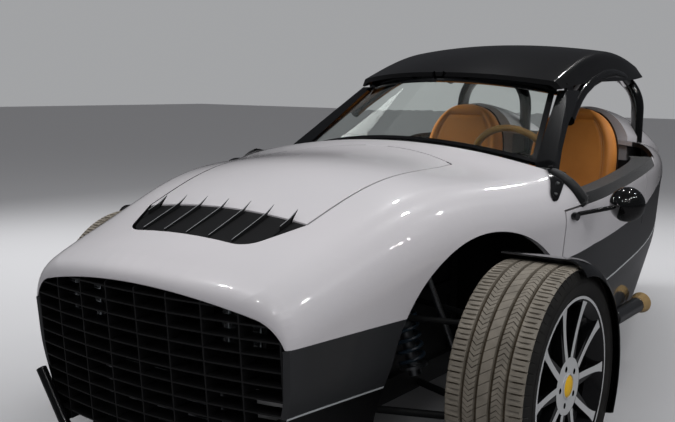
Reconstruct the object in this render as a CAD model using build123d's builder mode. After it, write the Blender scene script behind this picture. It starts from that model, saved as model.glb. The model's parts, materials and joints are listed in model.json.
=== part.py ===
"""Three-wheeled roadster: two steered front wheels, one driven rear wheel on a swingarm.

Millimetres, X towards the driver's side, Y towards the rear, Z up, floor at Z = 0.
Stations are distances behind the front axle.
"""
import os
from collections import namedtuple
from math import atan2, cos, hypot, radians, sin, tan

from build123d import *

os.makedirs("parts", exist_ok=True)

# Layout
nose_reach = 745.0
tail_reach = 2915.0
wheelbase = 2550.0
front_axle_y = (nose_reach - tail_reach) / 2
front_tyre_radius = 321.0
front_tyre_width = 230.0
front_wheel_x = 757.0
rear_tyre_radius = 328.0
rear_tyre_width = 285.0
rim_radius = 228.6
rim_lip = 14.0
panel_wall = 18.0
under_drop = 40.0
shut_gap = 6.0
seat_gap = 0.3

# Body sections, front to rear: the shoulder and waist are corners before rounding
Section = namedtuple("Section", "s top shoulder_x shoulder_z shoulder_r waist_x waist_z bottom_x bottom_z")
body_sections = [
    Section(-745, 612, 447, 565, 105, 443, 360, 360, 150),
    Section(-690, 656, 459, 598, 125, 448, 365, 368, 150),
    Section(-560, 713, 480, 650, 145, 464, 370, 380, 152),
    Section(-300, 806, 525, 735, 160, 500, 380, 415, 156),
    Section(50, 876, 604, 795, 165, 568, 395, 480, 165),
    Section(430, 912, 702, 812, 140, 672, 410, 590, 180),
    Section(900, 925, 692, 850, 120, 668, 425, 600, 200),
    Section(1400, 915, 634, 868, 110, 606, 445, 545, 220),
    Section(1900, 885, 520, 845, 110, 494, 480, 440, 275),
    Section(2400, 825, 378, 785, 110, 354, 545, 330, 400),
    Section(2915, 672, 168, 640, 60, 160, 545, 148, 480),
]
waist_r = 260.0
nose_plan_r = 2400.0

# Colour split and pinstripe, side view: station and height
split_front = [(-800, 502), (-250, 496)]
split_rear = [(640, 492), (1180, 584), (1700, 716), (2150, 749)]
stripe_front = [(-800, 336), (-250, 327)]
stripe_rear = [(640, 322), (1180, 368), (1700, 480), (2150, 550)]

# Wheel arch
arch_s = 60.0
arch_z = 320.0
arch_r = 380.0
rear_arch_gap = 62.0

# Bonnet and vent
bonnet_rear_s = 360.0
bonnet_rear_corner = (338, 262)
vent_front_s = -557.0
vent_front_half = 205.0
vent_rear_s = -405.0
vent_rear_half = 286.0
vent_corner_r = 70.0
fin_count = 7
fin_pitch = 80.0
fin_thickness = 4.0

# Door
door_front_s = 372.0
door_rear_s = 1225.0

# Windscreen: lower and upper edge as centre and corner points, half width, station, height
screen_low_centre = (0, 500, 918)
screen_low_corner = (486, 594, 853)
screen_high_centre = (0, 770, 1125)
screen_high_corner = (398, 935, 1083)
glass_thickness = 6.0

# Seats and controls
seat_x = 257.0
seat_half = 205.0
cushion_front = 1080.0
cushion_rear = 1540.0
cushion_low = 240.0
cushion_high = 385.0
runner_spread = 120.0
dash_half = 484.0
driver_x = 245.0
wheel_rim_r = 165.0

# Roll hoops
hoop_s = 1785.0
hoop_x = 262.0
hoop_half = 163.0
hoop_top = 1170.0
hoop_tube_r = 22.0

# Side exhausts
exhaust_x = 603.0
exhaust_z = 250.0
exhaust_r = 30.0
exhaust_start = 1075.0
exhaust_flare = 1345.0
exhaust_tip = 1402.0
exhaust_bracket_x = 512.0

# Rear
swingarm_pivot = (2060, 330)
pivot_r = 30.0
strut_top = (2105, 605)
strut_foot = (2330, 425)
strut_x = -238.0
strut_eye = 30.0
strut_pin_r = 10.0
lamp_stand = 10.0
body_end = tail_reach - lamp_stand - seat_gap


def world_y(s):
    return front_axle_y + s


def station(s):
    return Plane.XZ.offset(-world_y(s))


side_plane = Plane.YZ


def side_point(s, z):
    return (world_y(s), z)


def body_section(sketch, row, inset):
    sx, sz = row.shoulder_x - inset, row.shoulder_z - inset
    wx, wz = row.waist_x - inset, row.waist_z
    bx = row.bottom_x - inset
    bz = row.bottom_z - (under_drop if inset else 0)
    with BuildLine() as outline:
        Polyline((bx, bz), (wx, wz), (sx, sz))
        ThreePointArc((sx, sz), (0, row.top - inset), (-sx, sz))
        Polyline((-sx, sz), (-wx, wz), (-bx, bz), (bx, bz))
    make_face(outline.edges())
    shoulders = [v for v in sketch.vertices() if abs(v.Y - sz) < 0.01]
    fillet(shoulders, row.shoulder_r - inset)
    waists = [v for v in sketch.vertices() if abs(v.Y - wz) < 0.01 and abs(abs(v.X) - wx) < 0.01]
    turn = atan2(sx - wx, sz - wz) - atan2(wx - bx, wz - bz)
    room = 0.8 * min(hypot(wx - bx, wz - bz), hypot(sx - wx, sz - wz) - row.shoulder_r + inset)
    fillet(waists, min(waist_r, room / abs(tan(turn / 2))))


def body_loft(inset, rear_end):
    rows = list(body_sections)
    rows[-1] = rows[-1]._replace(s=rear_end)
    with BuildPart() as solid:
        for row in rows:
            with BuildSketch(station(row.s)) as sketch:
                body_section(sketch, row, inset)
        loft()
    return solid.part


outer = body_loft(0, body_end)
inner = body_loft(panel_wall, body_end - panel_wall)
fit_inside = body_loft(panel_wall + 2 * seat_gap, body_end - panel_wall - 2 * seat_gap)


# Hinge pins in the shut gap behind the bonnet
bonnet_pin_x = 22.0
bonnet_pin_length = 40.0
bonnet_pin_s = bonnet_rear_s + shut_gap / 2
bonnet_pin_r = shut_gap / 2 - seat_gap
bonnet_pin_z = 897.6

# Panel zones of the body, cut from one skin: cuts reach past it to the sides and to the top
side_reach = 900.0
top_reach = 1400.0
cowl_rear_s = 900.0

def side_region(points):
    with BuildSketch(side_plane) as region:
        with BuildLine():
            Polyline(*[side_point(s, z) for s, z in points], close=True)
        make_face()
    return region.sketch


def split_region(front, rear_points, floor_z):
    """Side view area below a colour line that is straight in front and curved behind the wheel."""
    start, mid, end, tail_end = [side_point(s, z) for s, z in rear_points]
    with BuildSketch(side_plane) as region:
        with BuildLine():
            Polyline(side_point(-800, floor_z), side_point(*front[0]), side_point(*front[1]), start)
            ThreePointArc(start, mid, end)
            Polyline(end, tail_end, side_point(rear_points[-1][0], floor_z), side_point(-800, floor_z))
        make_face()
    return region.sketch


below_split = split_region(split_front, split_rear, 0)
below_stripe = split_region(stripe_front, stripe_rear, 0)

# Nose trimmed to the grille's curve in plan, leaning back towards the floor
nose_lean = 5.2
nose_z = 600.0
nose_cut = 600.0
skin_front = 4.0
nose_plane = Plane(
    origin=(0, world_y(-nose_reach), nose_z),
    x_dir=(1, 0, 0),
    z_dir=(0, -sin(radians(nose_lean)), cos(radians(nose_lean))),
)


def behind_nose(depth):
    """Plan area behind the grille's curve, on the leaning nose plane."""
    half = side_reach
    sag = nose_plan_r - (nose_plan_r**2 - half**2) ** 0.5
    with BuildSketch(nose_plane) as area:
        with BuildLine():
            ThreePointArc((-half, depth + sag), (0, depth), (half, depth + sag))
            Polyline((half, depth + sag), (half, 4200), (-half, 4200), (-half, depth + sag))
        make_face()
    return area.sketch


with BuildPart() as skin_block:
    add(outer)
    add(inner, mode=Mode.SUBTRACT)
    extrude(behind_nose(skin_front), amount=side_reach, both=True, mode=Mode.INTERSECT)
    with BuildSketch(side_plane):
        with Locations(side_point(arch_s, arch_z)):
            Circle(arch_r)
    extrude(amount=side_reach, both=True, mode=Mode.SUBTRACT)
    with BuildSketch(side_plane):
        with Locations(side_point(wheelbase, rear_tyre_radius)):
            Circle(rear_tyre_radius + rear_arch_gap)
    extrude(amount=side_reach, both=True, mode=Mode.SUBTRACT)
skin = skin_block.part

# Cockpit edge, side view: the front post, the vee and the rear end of the rail
rail_height = 34.0
rail_depth = 45.0
vee = (500, 746)
vee_front = (446, 838)
vee_rear = (1420, 800)


def lifted(point, rise):
    return (point[0], point[1] + rise)


above_vee = side_region([vee, vee_rear, (1470, 860), (1500, 1300), (446, 1300), vee_front])
rail_rear_band = side_region([vee, vee_rear, lifted(vee_rear, rail_height), lifted(vee, rail_height)])
rail_front_band = side_region([vee, vee_front, (474, 852), lifted(vee, rail_height + 8)])


def plan_region(points, arc_mid=None, front_r=0):
    with BuildSketch(Plane.XY) as region:
        with BuildLine():
            world = [(x, world_y(s)) for x, s in points]
            if arc_mid:
                ThreePointArc(world[-1], (arc_mid[0], world_y(arc_mid[1])), world[0])
                Polyline(*world)
            else:
                Polyline(*world, close=True)
        make_face()
        if front_r:
            front = min(y for x, y in world)
            fillet([v for v in region.vertices() if abs(v.Y - front) < 0.01], front_r)
    return region.sketch


cockpit_plan = plan_region(
    [(520, 602), (600, 560), (600, 1480), (470, 1600), (-470, 1600), (-600, 1480), (-600, 560), (-520, 602)],
    arc_mid=(0, 484),
)


def bonnet_plan(grow):
    rear_x, rear_s = bonnet_rear_corner
    points = [
        (rear_x + grow, rear_s + grow / 2),
        (vent_rear_half + grow, vent_rear_s),
        (vent_front_half + grow, vent_front_s - grow),
        (-vent_front_half - grow, vent_front_s - grow),
        (-vent_rear_half - grow, vent_rear_s),
        (-rear_x - grow, rear_s + grow / 2),
    ]
    return plan_region(points, arc_mid=(0, bonnet_rear_s + grow), front_r=vent_corner_r + grow)


def door_region(grow):
    """Side view outline of the door, above the colour split."""
    front = door_front_s - grow
    rear = door_rear_s + grow
    notch = vee[0] - grow
    return side_region([(front, 300), (rear, 300), (rear, 990), (notch, 990), (notch, vee[1] + grow),
                        (front, vee[1] + grow - 14)])


def save(builder, name):
    builder.part.label = name
    export_step(builder.part, f"parts/{name}.step")


with BuildPart() as front_cowl:
    add(skin)
    extrude(below_split, amount=side_reach, both=True, mode=Mode.SUBTRACT)
    extrude(cockpit_plan, amount=top_reach, mode=Mode.SUBTRACT)
    extrude(above_vee, amount=side_reach, both=True, mode=Mode.SUBTRACT)
    extrude(door_region(shut_gap), amount=side_reach, both=True, mode=Mode.SUBTRACT)
    extrude(bonnet_plan(shut_gap), amount=top_reach, mode=Mode.SUBTRACT)
    extrude(rail_front_band, amount=side_reach, both=True, mode=Mode.SUBTRACT)
    split(bisect_by=station(cowl_rear_s), keep=Keep.TOP)
    for x in (-bonnet_pin_x, bonnet_pin_x):
        with BuildSketch(Plane.YZ.offset(x - bonnet_pin_length / 2)):
            with Locations(side_point(bonnet_pin_s, bonnet_pin_z)):
                Circle(bonnet_pin_r)
            with Locations(side_point(bonnet_pin_s + shut_gap / 2, bonnet_pin_z - bonnet_pin_r / 2)):
                Rectangle(shut_gap, bonnet_pin_r)
        extrude(amount=bonnet_pin_length)
save(front_cowl, "front_cowl")

# Headrest humps behind the seats: station, base height, top, half width
Hump = namedtuple("Hump", "s base top half")
hump_sections = [Hump(1625, 800, 1022, 178), Hump(1880, 800, 985, 168), Hump(2330, 760, 852, 105)]
with BuildPart() as humps:
    for row in hump_sections:
        with BuildSketch(station(row.s)):
            with BuildLine():
                low = (hoop_x - row.half, row.base)
                high = (hoop_x + row.half, row.base)
                knee = row.base + 0.45 * (row.top - row.base)
                Line(low, (low[0], knee))
                ThreePointArc((low[0], knee), (hoop_x, row.top), (high[0], knee))
                Polyline((high[0], knee), high, low)
            make_face()
    loft()
    mirror(about=Plane.YZ)

with BuildPart() as rear_deck:
    add(skin)
    extrude(below_split, amount=side_reach, both=True, mode=Mode.SUBTRACT)
    extrude(cockpit_plan, amount=top_reach, mode=Mode.SUBTRACT)
    extrude(above_vee, amount=side_reach, both=True, mode=Mode.SUBTRACT)
    extrude(door_region(shut_gap), amount=side_reach, both=True, mode=Mode.SUBTRACT)
    split(bisect_by=station(cowl_rear_s), keep=Keep.BOTTOM)
    add(humps.part)
    with BuildSketch(Plane.XY.offset(700)):
        for x in (-hoop_x, hoop_x):
            with Locations((x - hoop_half, world_y(hoop_s)), (x + hoop_half, world_y(hoop_s))):
                Circle(hoop_tube_r + seat_gap)
    extrude(amount=600, mode=Mode.SUBTRACT)
save(rear_deck, "rear_deck")

with BuildPart() as side_panels:
    add(skin)
    extrude(below_split, amount=side_reach, both=True, mode=Mode.INTERSECT)
    extrude(below_stripe, amount=side_reach, both=True, mode=Mode.SUBTRACT)
save(side_panels, "side_panels")

with BuildPart() as sills:
    add(skin)
    extrude(below_stripe, amount=side_reach, both=True, mode=Mode.INTERSECT)
    with BuildSketch(station(exhaust_start - 10)):
        for x in (-exhaust_x, exhaust_x):
            with Locations((x, exhaust_z)):
                Circle(exhaust_r + 4)
    extrude(amount=-500, mode=Mode.SUBTRACT)
save(sills, "sills")

with BuildPart() as bonnet_panel:
    add(skin)
    extrude(bonnet_plan(0), amount=top_reach, mode=Mode.INTERSECT)
    extrude(below_split, amount=side_reach, both=True, mode=Mode.SUBTRACT)
    with BuildSketch(Plane.XY):
        with Locations((0, world_y(vent_rear_s) - side_reach / 2)):
            Rectangle(2 * side_reach, side_reach)
    extrude(amount=top_reach, mode=Mode.SUBTRACT)
save(bonnet_panel, "bonnet_panel")

with BuildPart() as rail_blank:
    add(outer)
    add(body_loft(rail_depth, body_end - rail_depth), mode=Mode.SUBTRACT)
rail_layer = rail_blank.part

with BuildPart() as cockpit_trim:
    add(rail_layer)
    extrude(rail_front_band, amount=side_reach, both=True, mode=Mode.INTERSECT)
    extrude(door_region(shut_gap), amount=side_reach, both=True, mode=Mode.SUBTRACT)
save(cockpit_trim, "cockpit_trim")

for side, sign in (("left", 1), ("right", -1)):
    with BuildPart() as door_skin:
        add(skin)
        extrude(door_region(0), amount=sign * side_reach, mode=Mode.INTERSECT)
        extrude(below_split, amount=side_reach, both=True, mode=Mode.SUBTRACT)
        extrude(above_vee, amount=side_reach, both=True, mode=Mode.SUBTRACT)
    save(door_skin, f"door_{side}")
    with BuildPart() as door_rail:
        add(rail_layer)
        extrude(rail_rear_band, amount=sign * side_reach, mode=Mode.INTERSECT)
    save(door_rail, f"door_rail_{side}")

# Bonnet vent: a sunk tray with raised longitudinal fins
vent_slope = 19.5
vent_foot_z = 712.0
fin_stand = 8.0
fin_overhang = 30.0
vent_tray_drop = 10.0
vent_tray_t = 5.0
fin_root = 60.0
vent_fit = 2.0
vent_length = vent_rear_s - vent_front_s
vent_plan = plan_region([
    (vent_front_half - vent_fit, vent_front_s + vent_fit), (vent_rear_half - vent_fit, vent_rear_s),
    (vent_rear_half - vent_fit, 0), (-vent_rear_half + vent_fit, 0),
    (-vent_rear_half + vent_fit, vent_rear_s), (-vent_front_half + vent_fit, vent_front_s + vent_fit),
], front_r=vent_corner_r - vent_fit)
with BuildPart() as under_panel:
    add(Pos(0, 0, seat_gap) * outer)
    with BuildSketch(station(vent_rear_s - seat_gap)):
        Rectangle(1200, 3000)
    extrude(amount=-200, mode=Mode.INTERSECT)

with BuildPart() as bonnet_vent:
    with BuildSketch(Plane.XY.offset(600)):
        with Locations((0, world_y((vent_front_s + vent_rear_s) / 2))):
            Rectangle(2 * vent_rear_half, vent_length)
    extrude(amount=300)
    add(Pos(0, 0, -vent_tray_drop) * outer, mode=Mode.INTERSECT)
    with BuildSketch(Plane.YZ) as fin:
        with BuildLine():
            start = world_y(vent_front_s)
            rear = vent_length * tan(radians(vent_slope))
            Polyline(
                (start + 4, vent_foot_z - 3),
                (start + vent_length - 2, vent_foot_z + rear + fin_stand),
                (start + vent_length + fin_overhang, vent_foot_z + rear + fin_stand + 9),
                (start + vent_length + 1, vent_foot_z + rear + 3),
                (start + vent_length - 2, vent_foot_z + rear - fin_root),
                (start + 4, vent_foot_z - fin_root),
                close=True,
            )
        make_face()
    for number in range(fin_count):
        x = (number - (fin_count - 1) / 2) * fin_pitch
        extrude(fin.sketch.moved(Location((x - fin_thickness / 2, 0, 0))), amount=fin_thickness)
    extrude(vent_plan, amount=top_reach, mode=Mode.INTERSECT)
    add(Pos(0, 0, -vent_tray_drop - vent_tray_t) * outer, mode=Mode.SUBTRACT)
    add(under_panel.part, mode=Mode.SUBTRACT)
save(bonnet_vent, "bonnet_vent")

# Grille: blades and bars between two curves, cut to the opening's outline
grille_top = 606.0
grille_bottom = 165.0
grille_half = 446.0
grille_foot_half = 362.0
grille_knee_z = 300.0
grille_corner_r = 105.0
grille_crown = 60.0
grille_fit = 1.0
grille_depth = 46.0
slat_top = 584.0
slat_pitch = 36.0
slat_thickness = 4.0
bar_pitch = 108.0
bar_side_count = 4
bar_thickness = 4.0
grille_rim = 9.0
grille_rim_t = 8.0


def grille_outline(shrink):
    half = grille_half - shrink
    foot = grille_foot_half - shrink
    low = grille_bottom - nose_z + shrink
    high = grille_top - nose_z - shrink
    crown = high - grille_crown
    knee = grille_knee_z - nose_z
    with BuildSketch(nose_plane.rotated((90, 0, 0))) as face:
        with BuildLine():
            Polyline((-foot, low), (foot, low), (half, knee), (half, crown))
            ThreePointArc((half, crown), (0, high), (-half, crown))
            Polyline((-half, crown), (-half, knee), (-foot, low))
        make_face()
        corners = [v for v in face.vertices() if abs(v.Y - crown) < 0.01]
        fillet(corners, grille_corner_r - shrink)
    return face.sketch


grille_zone_front = behind_nose(skin_front)
grille_zone_back = behind_nose(skin_front + grille_depth)
grille_zone_rim = behind_nose(skin_front + grille_depth - grille_rim_t)
with BuildPart() as grille_frame:
    extrude(grille_outline(grille_fit), amount=nose_cut, both=True)
    extrude(grille_outline(grille_fit + grille_rim), amount=nose_cut, both=True, mode=Mode.SUBTRACT)
    extrude(grille_zone_rim, amount=nose_cut, both=True, mode=Mode.INTERSECT)

with BuildPart() as grille:
    rows = int((slat_top - grille_bottom) / slat_pitch)
    for number in range(rows + 1):
        with BuildSketch(nose_plane.offset(slat_top - nose_z - number * slat_pitch)):
            Rectangle(2 * nose_cut, nose_cut)
        extrude(amount=slat_thickness)
    with BuildSketch(nose_plane.offset(grille_bottom - nose_z)):
        for number in range(-bar_side_count, bar_side_count + 1):
            with Locations((number * bar_pitch, 0)):
                Rectangle(bar_thickness, nose_cut)
    extrude(amount=grille_top - grille_bottom)
    extrude(grille_outline(grille_fit), amount=nose_cut, both=True, mode=Mode.INTERSECT)
    add(grille_frame.part)
    extrude(grille_zone_front, amount=nose_cut, both=True, mode=Mode.INTERSECT)
    extrude(grille_zone_back, amount=nose_cut, both=True, mode=Mode.SUBTRACT)
    add(fit_inside, mode=Mode.INTERSECT)
save(grille, "grille")

# Headlamps: a block of small lenses behind each end of the grille
lamp_x = 283.0
lamp_z = 527.0
lamp_face_s = -655.0
lamp_width = 128.0
lamp_height = 104.0
lamp_depth = 60.0
lamp_lens_r = 20.0
lens_stand = 10.0
lamp_pitch_x = 52.0
lamp_pitch_z = 46.0
with BuildPart() as headlamps:
    with BuildSketch(station(lamp_face_s + lens_stand + lamp_depth)):
        with Locations((lamp_x, lamp_z)):
            RectangleRounded(lamp_width, lamp_height, 18)
    extrude(amount=lamp_depth)
    with BuildSketch(station(lamp_face_s + lens_stand)):
        with Locations((lamp_x, lamp_z)):
            with GridLocations(lamp_pitch_x, lamp_pitch_z, 2, 2):
                Circle(lamp_lens_r)
    extrude(amount=lens_stand + 4)
    with BuildSketch(station(lamp_face_s + lamp_depth)):
        with Locations((lamp_x, lamp_z + 150)):
            Rectangle(30, 240)
    extrude(amount=8)
    add(fit_inside, mode=Mode.INTERSECT)
    mirror(about=Plane.YZ)
save(headlamps, "headlamps")

radiator_rear_s = -610.0
radiator_width = 560.0
radiator_low = 195.0
radiator_high = 465.0
radiator_t = 26.0
with BuildPart() as radiator:
    with BuildSketch(station(radiator_rear_s - seat_gap)):
        with Locations((0, (radiator_low + radiator_high) / 2)):
            Rectangle(radiator_width, radiator_high - radiator_low)
    extrude(amount=radiator_t)
save(radiator, "radiator")

with BuildPart() as chin_bar:
    with BuildLine() as chin_path:
        FilletPolyline((-446, world_y(-684), 292), (-326, world_y(-693), 142), (0, world_y(-714), 132),
                       (326, world_y(-693), 142), (446, world_y(-684), 292), radius=60)
    with BuildSketch(Plane(chin_path.line @ 0, z_dir=chin_path.line % 0)):
        Circle(15)
    sweep()
    extrude(behind_nose(skin_front - seat_gap), amount=side_reach, both=True, mode=Mode.SUBTRACT)
save(chin_bar, "chin_bar")

# Frame and tub
upper_arm_z = 455.0
lower_arm_z = 187.0
rocker_pivot = (60, 600)
rocker_x = 400.0
rail_x = 285.0
rail_section = (50.0, 70.0)
rail_length = 1020.0
frame_z = 205.0
cross_tube_rears = (radiator_rear_s + 50, -120.0, 120.0, 400.0)
cross_tube_length = 520.0
cross_tube_side = 50.0
floor_z = 158.0
tub_half = 545.0
tub_front = 440.0
tub_rear = 1640.0
tub_side_z = 470.0
tub_wide_s = 900.0
tub_front_half = 505.0
tub_rear_half = 474.0
tub_wall = 20.0
tub_low = floor_z + 40
tub_floor = tub_low + tub_wall
tub_bulkhead_low = 181.0
tub_bulkhead_high = 799.0
rear_beam_x = 170.0
rear_beam_t = 40.0
rear_beam_length = 480.0
rear_beam_height = 220.0
rear_post_height = 200.0
with BuildPart() as chassis_frame:
    for x in (-rail_x, rail_x):
        with BuildSketch(station(tub_front - seat_gap)):
            with Locations((x, frame_z)):
                Rectangle(*rail_section)
        extrude(amount=rail_length)
    for s in cross_tube_rears:
        with BuildSketch(station(s)):
            with Locations((0, frame_z)):
                Rectangle(cross_tube_length, cross_tube_side)
        extrude(amount=cross_tube_side)
    for x in (-1, 1):
        with BuildSketch(Plane.XY.offset(235)):
            with Locations((x * rail_x, world_y(arch_s - 340)), (x * rail_x, world_y(arch_s + 320))):
                Rectangle(36, 36)
            with Locations((x * rail_x, world_y(arch_s - 10))):
                Rectangle(6, 660)
        extrude(amount=365)
        for z in (upper_arm_z, 580):
            with BuildSketch(station(arch_s + 338)):
                with Locations((x * rail_x, z)):
                    Rectangle(36, 40)
            extrude(amount=696)
        with BuildSketch(Plane.YZ.offset(x * (rail_x + 10))):
            with Locations(side_point(rocker_pivot[0], rocker_pivot[1])):
                Circle(16)
        extrude(amount=x * (rocker_x - rail_x - 10 - seat_gap))
save(chassis_frame, "chassis_frame")

with BuildPart() as engine_block:
    with BuildSketch(Plane.XY.offset(230 + seat_gap)):
        with Locations((0, world_y(-150))):
            Rectangle(480, 330)
    extrude(amount=330)
    chamfer(engine_block.edges().filter_by(Axis.Z), 24)
save(engine_block, "engine_block")

with BuildPart() as floor_tub:
    with BuildSketch(Plane.XY.offset(tub_low)):
        with BuildLine():
            Polyline((-tub_front_half, world_y(tub_front)), (tub_front_half, world_y(tub_front)),
                     (tub_half, world_y(tub_wide_s)), (tub_rear_half, world_y(tub_rear)),
                     (-tub_rear_half, world_y(tub_rear)), (-tub_half, world_y(tub_wide_s)), close=True)
        make_face()
    extrude(amount=tub_side_z - tub_low)
    offset(amount=-tub_wall, openings=floor_tub.faces().sort_by(Axis.Z)[-1])
    with BuildSketch(station(tub_rear)):
        with Locations((0, (tub_bulkhead_low + tub_bulkhead_high) / 2)):
            Rectangle(2 * side_reach, tub_bulkhead_high - tub_bulkhead_low)
    extrude(amount=tub_wall)
    add(fit_inside, mode=Mode.INTERSECT)
    with BuildSketch(Plane.XY.offset(tub_floor)):
        for side in (-1, 1):
            for spread in (-runner_spread, runner_spread):
                with Locations((side * seat_x + spread, world_y((cushion_front + cushion_rear) / 2))):
                    Rectangle(30, cushion_rear - cushion_front - 60)
    extrude(amount=cushion_low - seat_gap - tub_floor)
    with BuildSketch(Plane.XY.offset(tub_low)):
        with Locations((0, world_y(tub_rear + rear_beam_length / 2))):
            Rectangle(2 * rear_beam_x + rear_beam_t + 40, rear_beam_length)
    extrude(amount=30)
    for x in (-rear_beam_x, rear_beam_x):
        with BuildSketch(Plane.XY.offset(tub_floor)):
            with Locations((x, world_y(tub_rear + rear_beam_length / 2))):
                Rectangle(rear_beam_t, rear_beam_length)
        extrude(amount=rear_beam_height)
        with BuildSketch(Plane.XY.offset(tub_floor + rear_beam_height)):
            with Locations((x, world_y(tub_rear + rear_beam_length - 25))):
                Rectangle(rear_beam_t, 50)
        extrude(amount=rear_post_height)
    with BuildSketch(Plane.YZ.offset(-rear_beam_x - rear_beam_t / 2)):
        with Locations(side_point(*strut_top)):
            Circle(strut_pin_r)
    extrude(amount=strut_x - strut_eye / 2 + rear_beam_x + rear_beam_t / 2)
    with BuildSketch(Plane.YZ.offset(-300)):
        with Locations(side_point(*swingarm_pivot)):
            Circle(pivot_r + 0.3)
    extrude(amount=600, mode=Mode.SUBTRACT)
save(floor_tub, "floor_tub")

with BuildPart() as firewall:
    with BuildSketch(station(tub_front - seat_gap)):
        with BuildLine():
            Polyline((-250, 250), (250, 250), (520, 480), (560, 700), (560, 1000), (-560, 1000), (-560, 700),
                     (-520, 480), close=True)
        make_face()
    extrude(amount=12)
    add(fit_inside, mode=Mode.INTERSECT)
save(firewall, "firewall")

with BuildPart() as dashboard:
    with BuildSketch(Plane.YZ.offset(-dash_half)):
        with BuildLine():
            Polyline(side_point(tub_front + seat_gap, 780), side_point(560, 842), side_point(640, 827),
                     side_point(690, 780), side_point(640, 680), side_point(560, 660),
                     side_point(tub_front + seat_gap, 700), close=True)
        make_face()
    extrude(amount=2 * dash_half)
save(dashboard, "dashboard")

column_slope = 22.0
hub_s = 935.0
hub_z = 800.0


def column_plane(back):
    """Plane across the steering column, a distance in front of the steering wheel's hub."""
    lean = radians(column_slope)
    return Plane(
        origin=(driver_x, world_y(hub_s) - back * cos(lean), hub_z - back * sin(lean)),
        x_dir=(1, 0, 0),
        z_dir=(0, cos(lean), sin(lean)),
    )


with BuildPart() as steering_column:
    with BuildSketch(column_plane(18 + seat_gap)):
        Circle(24)
    extrude(amount=-310)
    add(Pos(0, seat_gap, 0) * dashboard.part, mode=Mode.SUBTRACT)
save(steering_column, "steering_column")

with BuildPart() as steering_wheel:
    with BuildSketch(column_plane(18)):
        Circle(34)
    extrude(amount=24)
    for angle in (90, 210, 330):
        with BuildSketch(column_plane(8)):
            with Locations(Location((0, 0), angle)):
                with Locations((wheel_rim_r / 2, 0)):
                    Rectangle(wheel_rim_r - 8, 26)
        extrude(amount=5)
    with Locations(column_plane(6)):
        Torus(wheel_rim_r, 13)
save(steering_wheel, "steering_wheel")

with BuildPart() as pedals:
    for x in (-120, 0, 110):
        with BuildSketch(station(tub_front + 70)):
            with Locations((driver_x + x, 320)):
                RectangleRounded(60, 80, 8)
        extrude(amount=10)
        with BuildSketch(station(tub_front + 61)):
            with Locations((driver_x + x, 320)):
                Rectangle(18, 18)
        extrude(amount=41 - seat_gap)
save(pedals, "pedals")

with BuildPart() as centre_console:
    with BuildSketch(Plane.XY.offset(tub_floor + seat_gap)):
        with Locations((0, world_y(1080))):
            Rectangle(80, 760)
    extrude(amount=190)
    chamfer(centre_console.edges().group_by(Axis.Z)[-1], 14)
save(centre_console, "centre_console")

back_tilt = 12.0
back_foot_s = 1365.0
back_thickness = 95.0
back_top = 1028.0
for side, sign in (("left", 1), ("right", -1)):
    with BuildPart() as seat:
        with BuildSketch(Plane.XY.offset(cushion_low)):
            with Locations((sign * seat_x, world_y((cushion_front + cushion_rear) / 2))):
                RectangleRounded(2 * seat_half, cushion_rear - cushion_front, 60)
        extrude(amount=cushion_high - cushion_low)
        lean = radians(back_tilt)
        with BuildSketch(Plane(origin=(sign * seat_x, world_y(back_foot_s), cushion_high - 20), x_dir=(1, 0, 0),
                               z_dir=(0, -cos(lean), sin(lean)))):
            rise = (back_top - cushion_high + 20) / cos(lean)
            with BuildLine():
                Polyline((-seat_half, 0), (seat_half, 0), (seat_half - 8, rise * 0.5), (135, rise - 80))
                ThreePointArc((135, rise - 80), (0, rise), (-135, rise - 80))
                Polyline((-135, rise - 80), (-seat_half + 8, rise * 0.5), (-seat_half, 0))
            make_face()
        extrude(amount=-back_thickness)
    save(seat, f"seat_{side}")

# Windscreen: a pane and its frame between the lower and the upper edge
def screen_point(u, corner_share):
    low = [a + corner_share * (b - a) for a, b in zip(screen_low_centre, screen_low_corner)]
    high = [a + corner_share * (b - a) for a, b in zip(screen_high_centre, screen_high_corner)]
    x, s, z = [a + u * (b - a) for a, b in zip(low, high)]
    return Vector(x, world_y(s), z)


def screen_face(u, widen, thickness):
    """Curved strip across the screen at share u of its height."""
    centre = screen_point(u, 0)
    corner = screen_point(u, 1)
    sag = Vector(0, corner.Y - centre.Y, corner.Z - centre.Z)
    half = corner.X + widen
    plane = Plane(origin=centre, x_dir=(1, 0, 0), z_dir=Vector(1, 0, 0).cross(sag))
    with BuildSketch(plane) as strip:
        with BuildLine():
            depth = sag.length * (half / corner.X) ** 2
            ThreePointArc((-half, depth), (0, 0), (half, depth))
            Line((half, depth), (half, depth + thickness))
            ThreePointArc((half, depth + thickness), (0, thickness), (-half, depth + thickness))
            Line((-half, depth + thickness), (-half, depth))
        make_face()
    return strip.sketch


def screen_band(u_low, u_high, widen_low, widen_high, thickness):
    return Solid.make_loft([screen_face(u_low, widen_low, thickness).wires()[0],
                            screen_face(u_high, widen_high, thickness).wires()[0]], ruled=True)


with BuildPart() as windscreen_glass:
    add(screen_band(0.0457, 0.9743, -6, -6, glass_thickness))
save(windscreen_glass, "windscreen_glass")

pillar_foot = (530, 542, 813)
pillar_head = (424, 992, 1092)
pillar_head_depth = 110.0
with BuildPart() as cowl_block:
    add(Pos(0, 0, seat_gap) * outer)
    extrude(cockpit_plan, amount=top_reach, mode=Mode.SUBTRACT)

with BuildPart() as windscreen_frame:
    with BuildSketch(Plane.XY.offset(pillar_foot[2])):
        with Locations((pillar_foot[0], world_y(pillar_foot[1]))):
            Rectangle(76, 44)
    with BuildSketch(Plane.XY.offset(pillar_head[2])):
        with Locations((pillar_head[0], world_y(pillar_head[1]))):
            Rectangle(38, pillar_head_depth)
    loft()
    mirror(about=Plane.YZ)
    add(cowl_block.part, mode=Mode.SUBTRACT)
    add(screen_band(0.0, 0.045, 14, 10, 22))
    add(screen_band(0.975, 1.03, 16, 16, 22))
save(windscreen_frame, "windscreen_frame")

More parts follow.
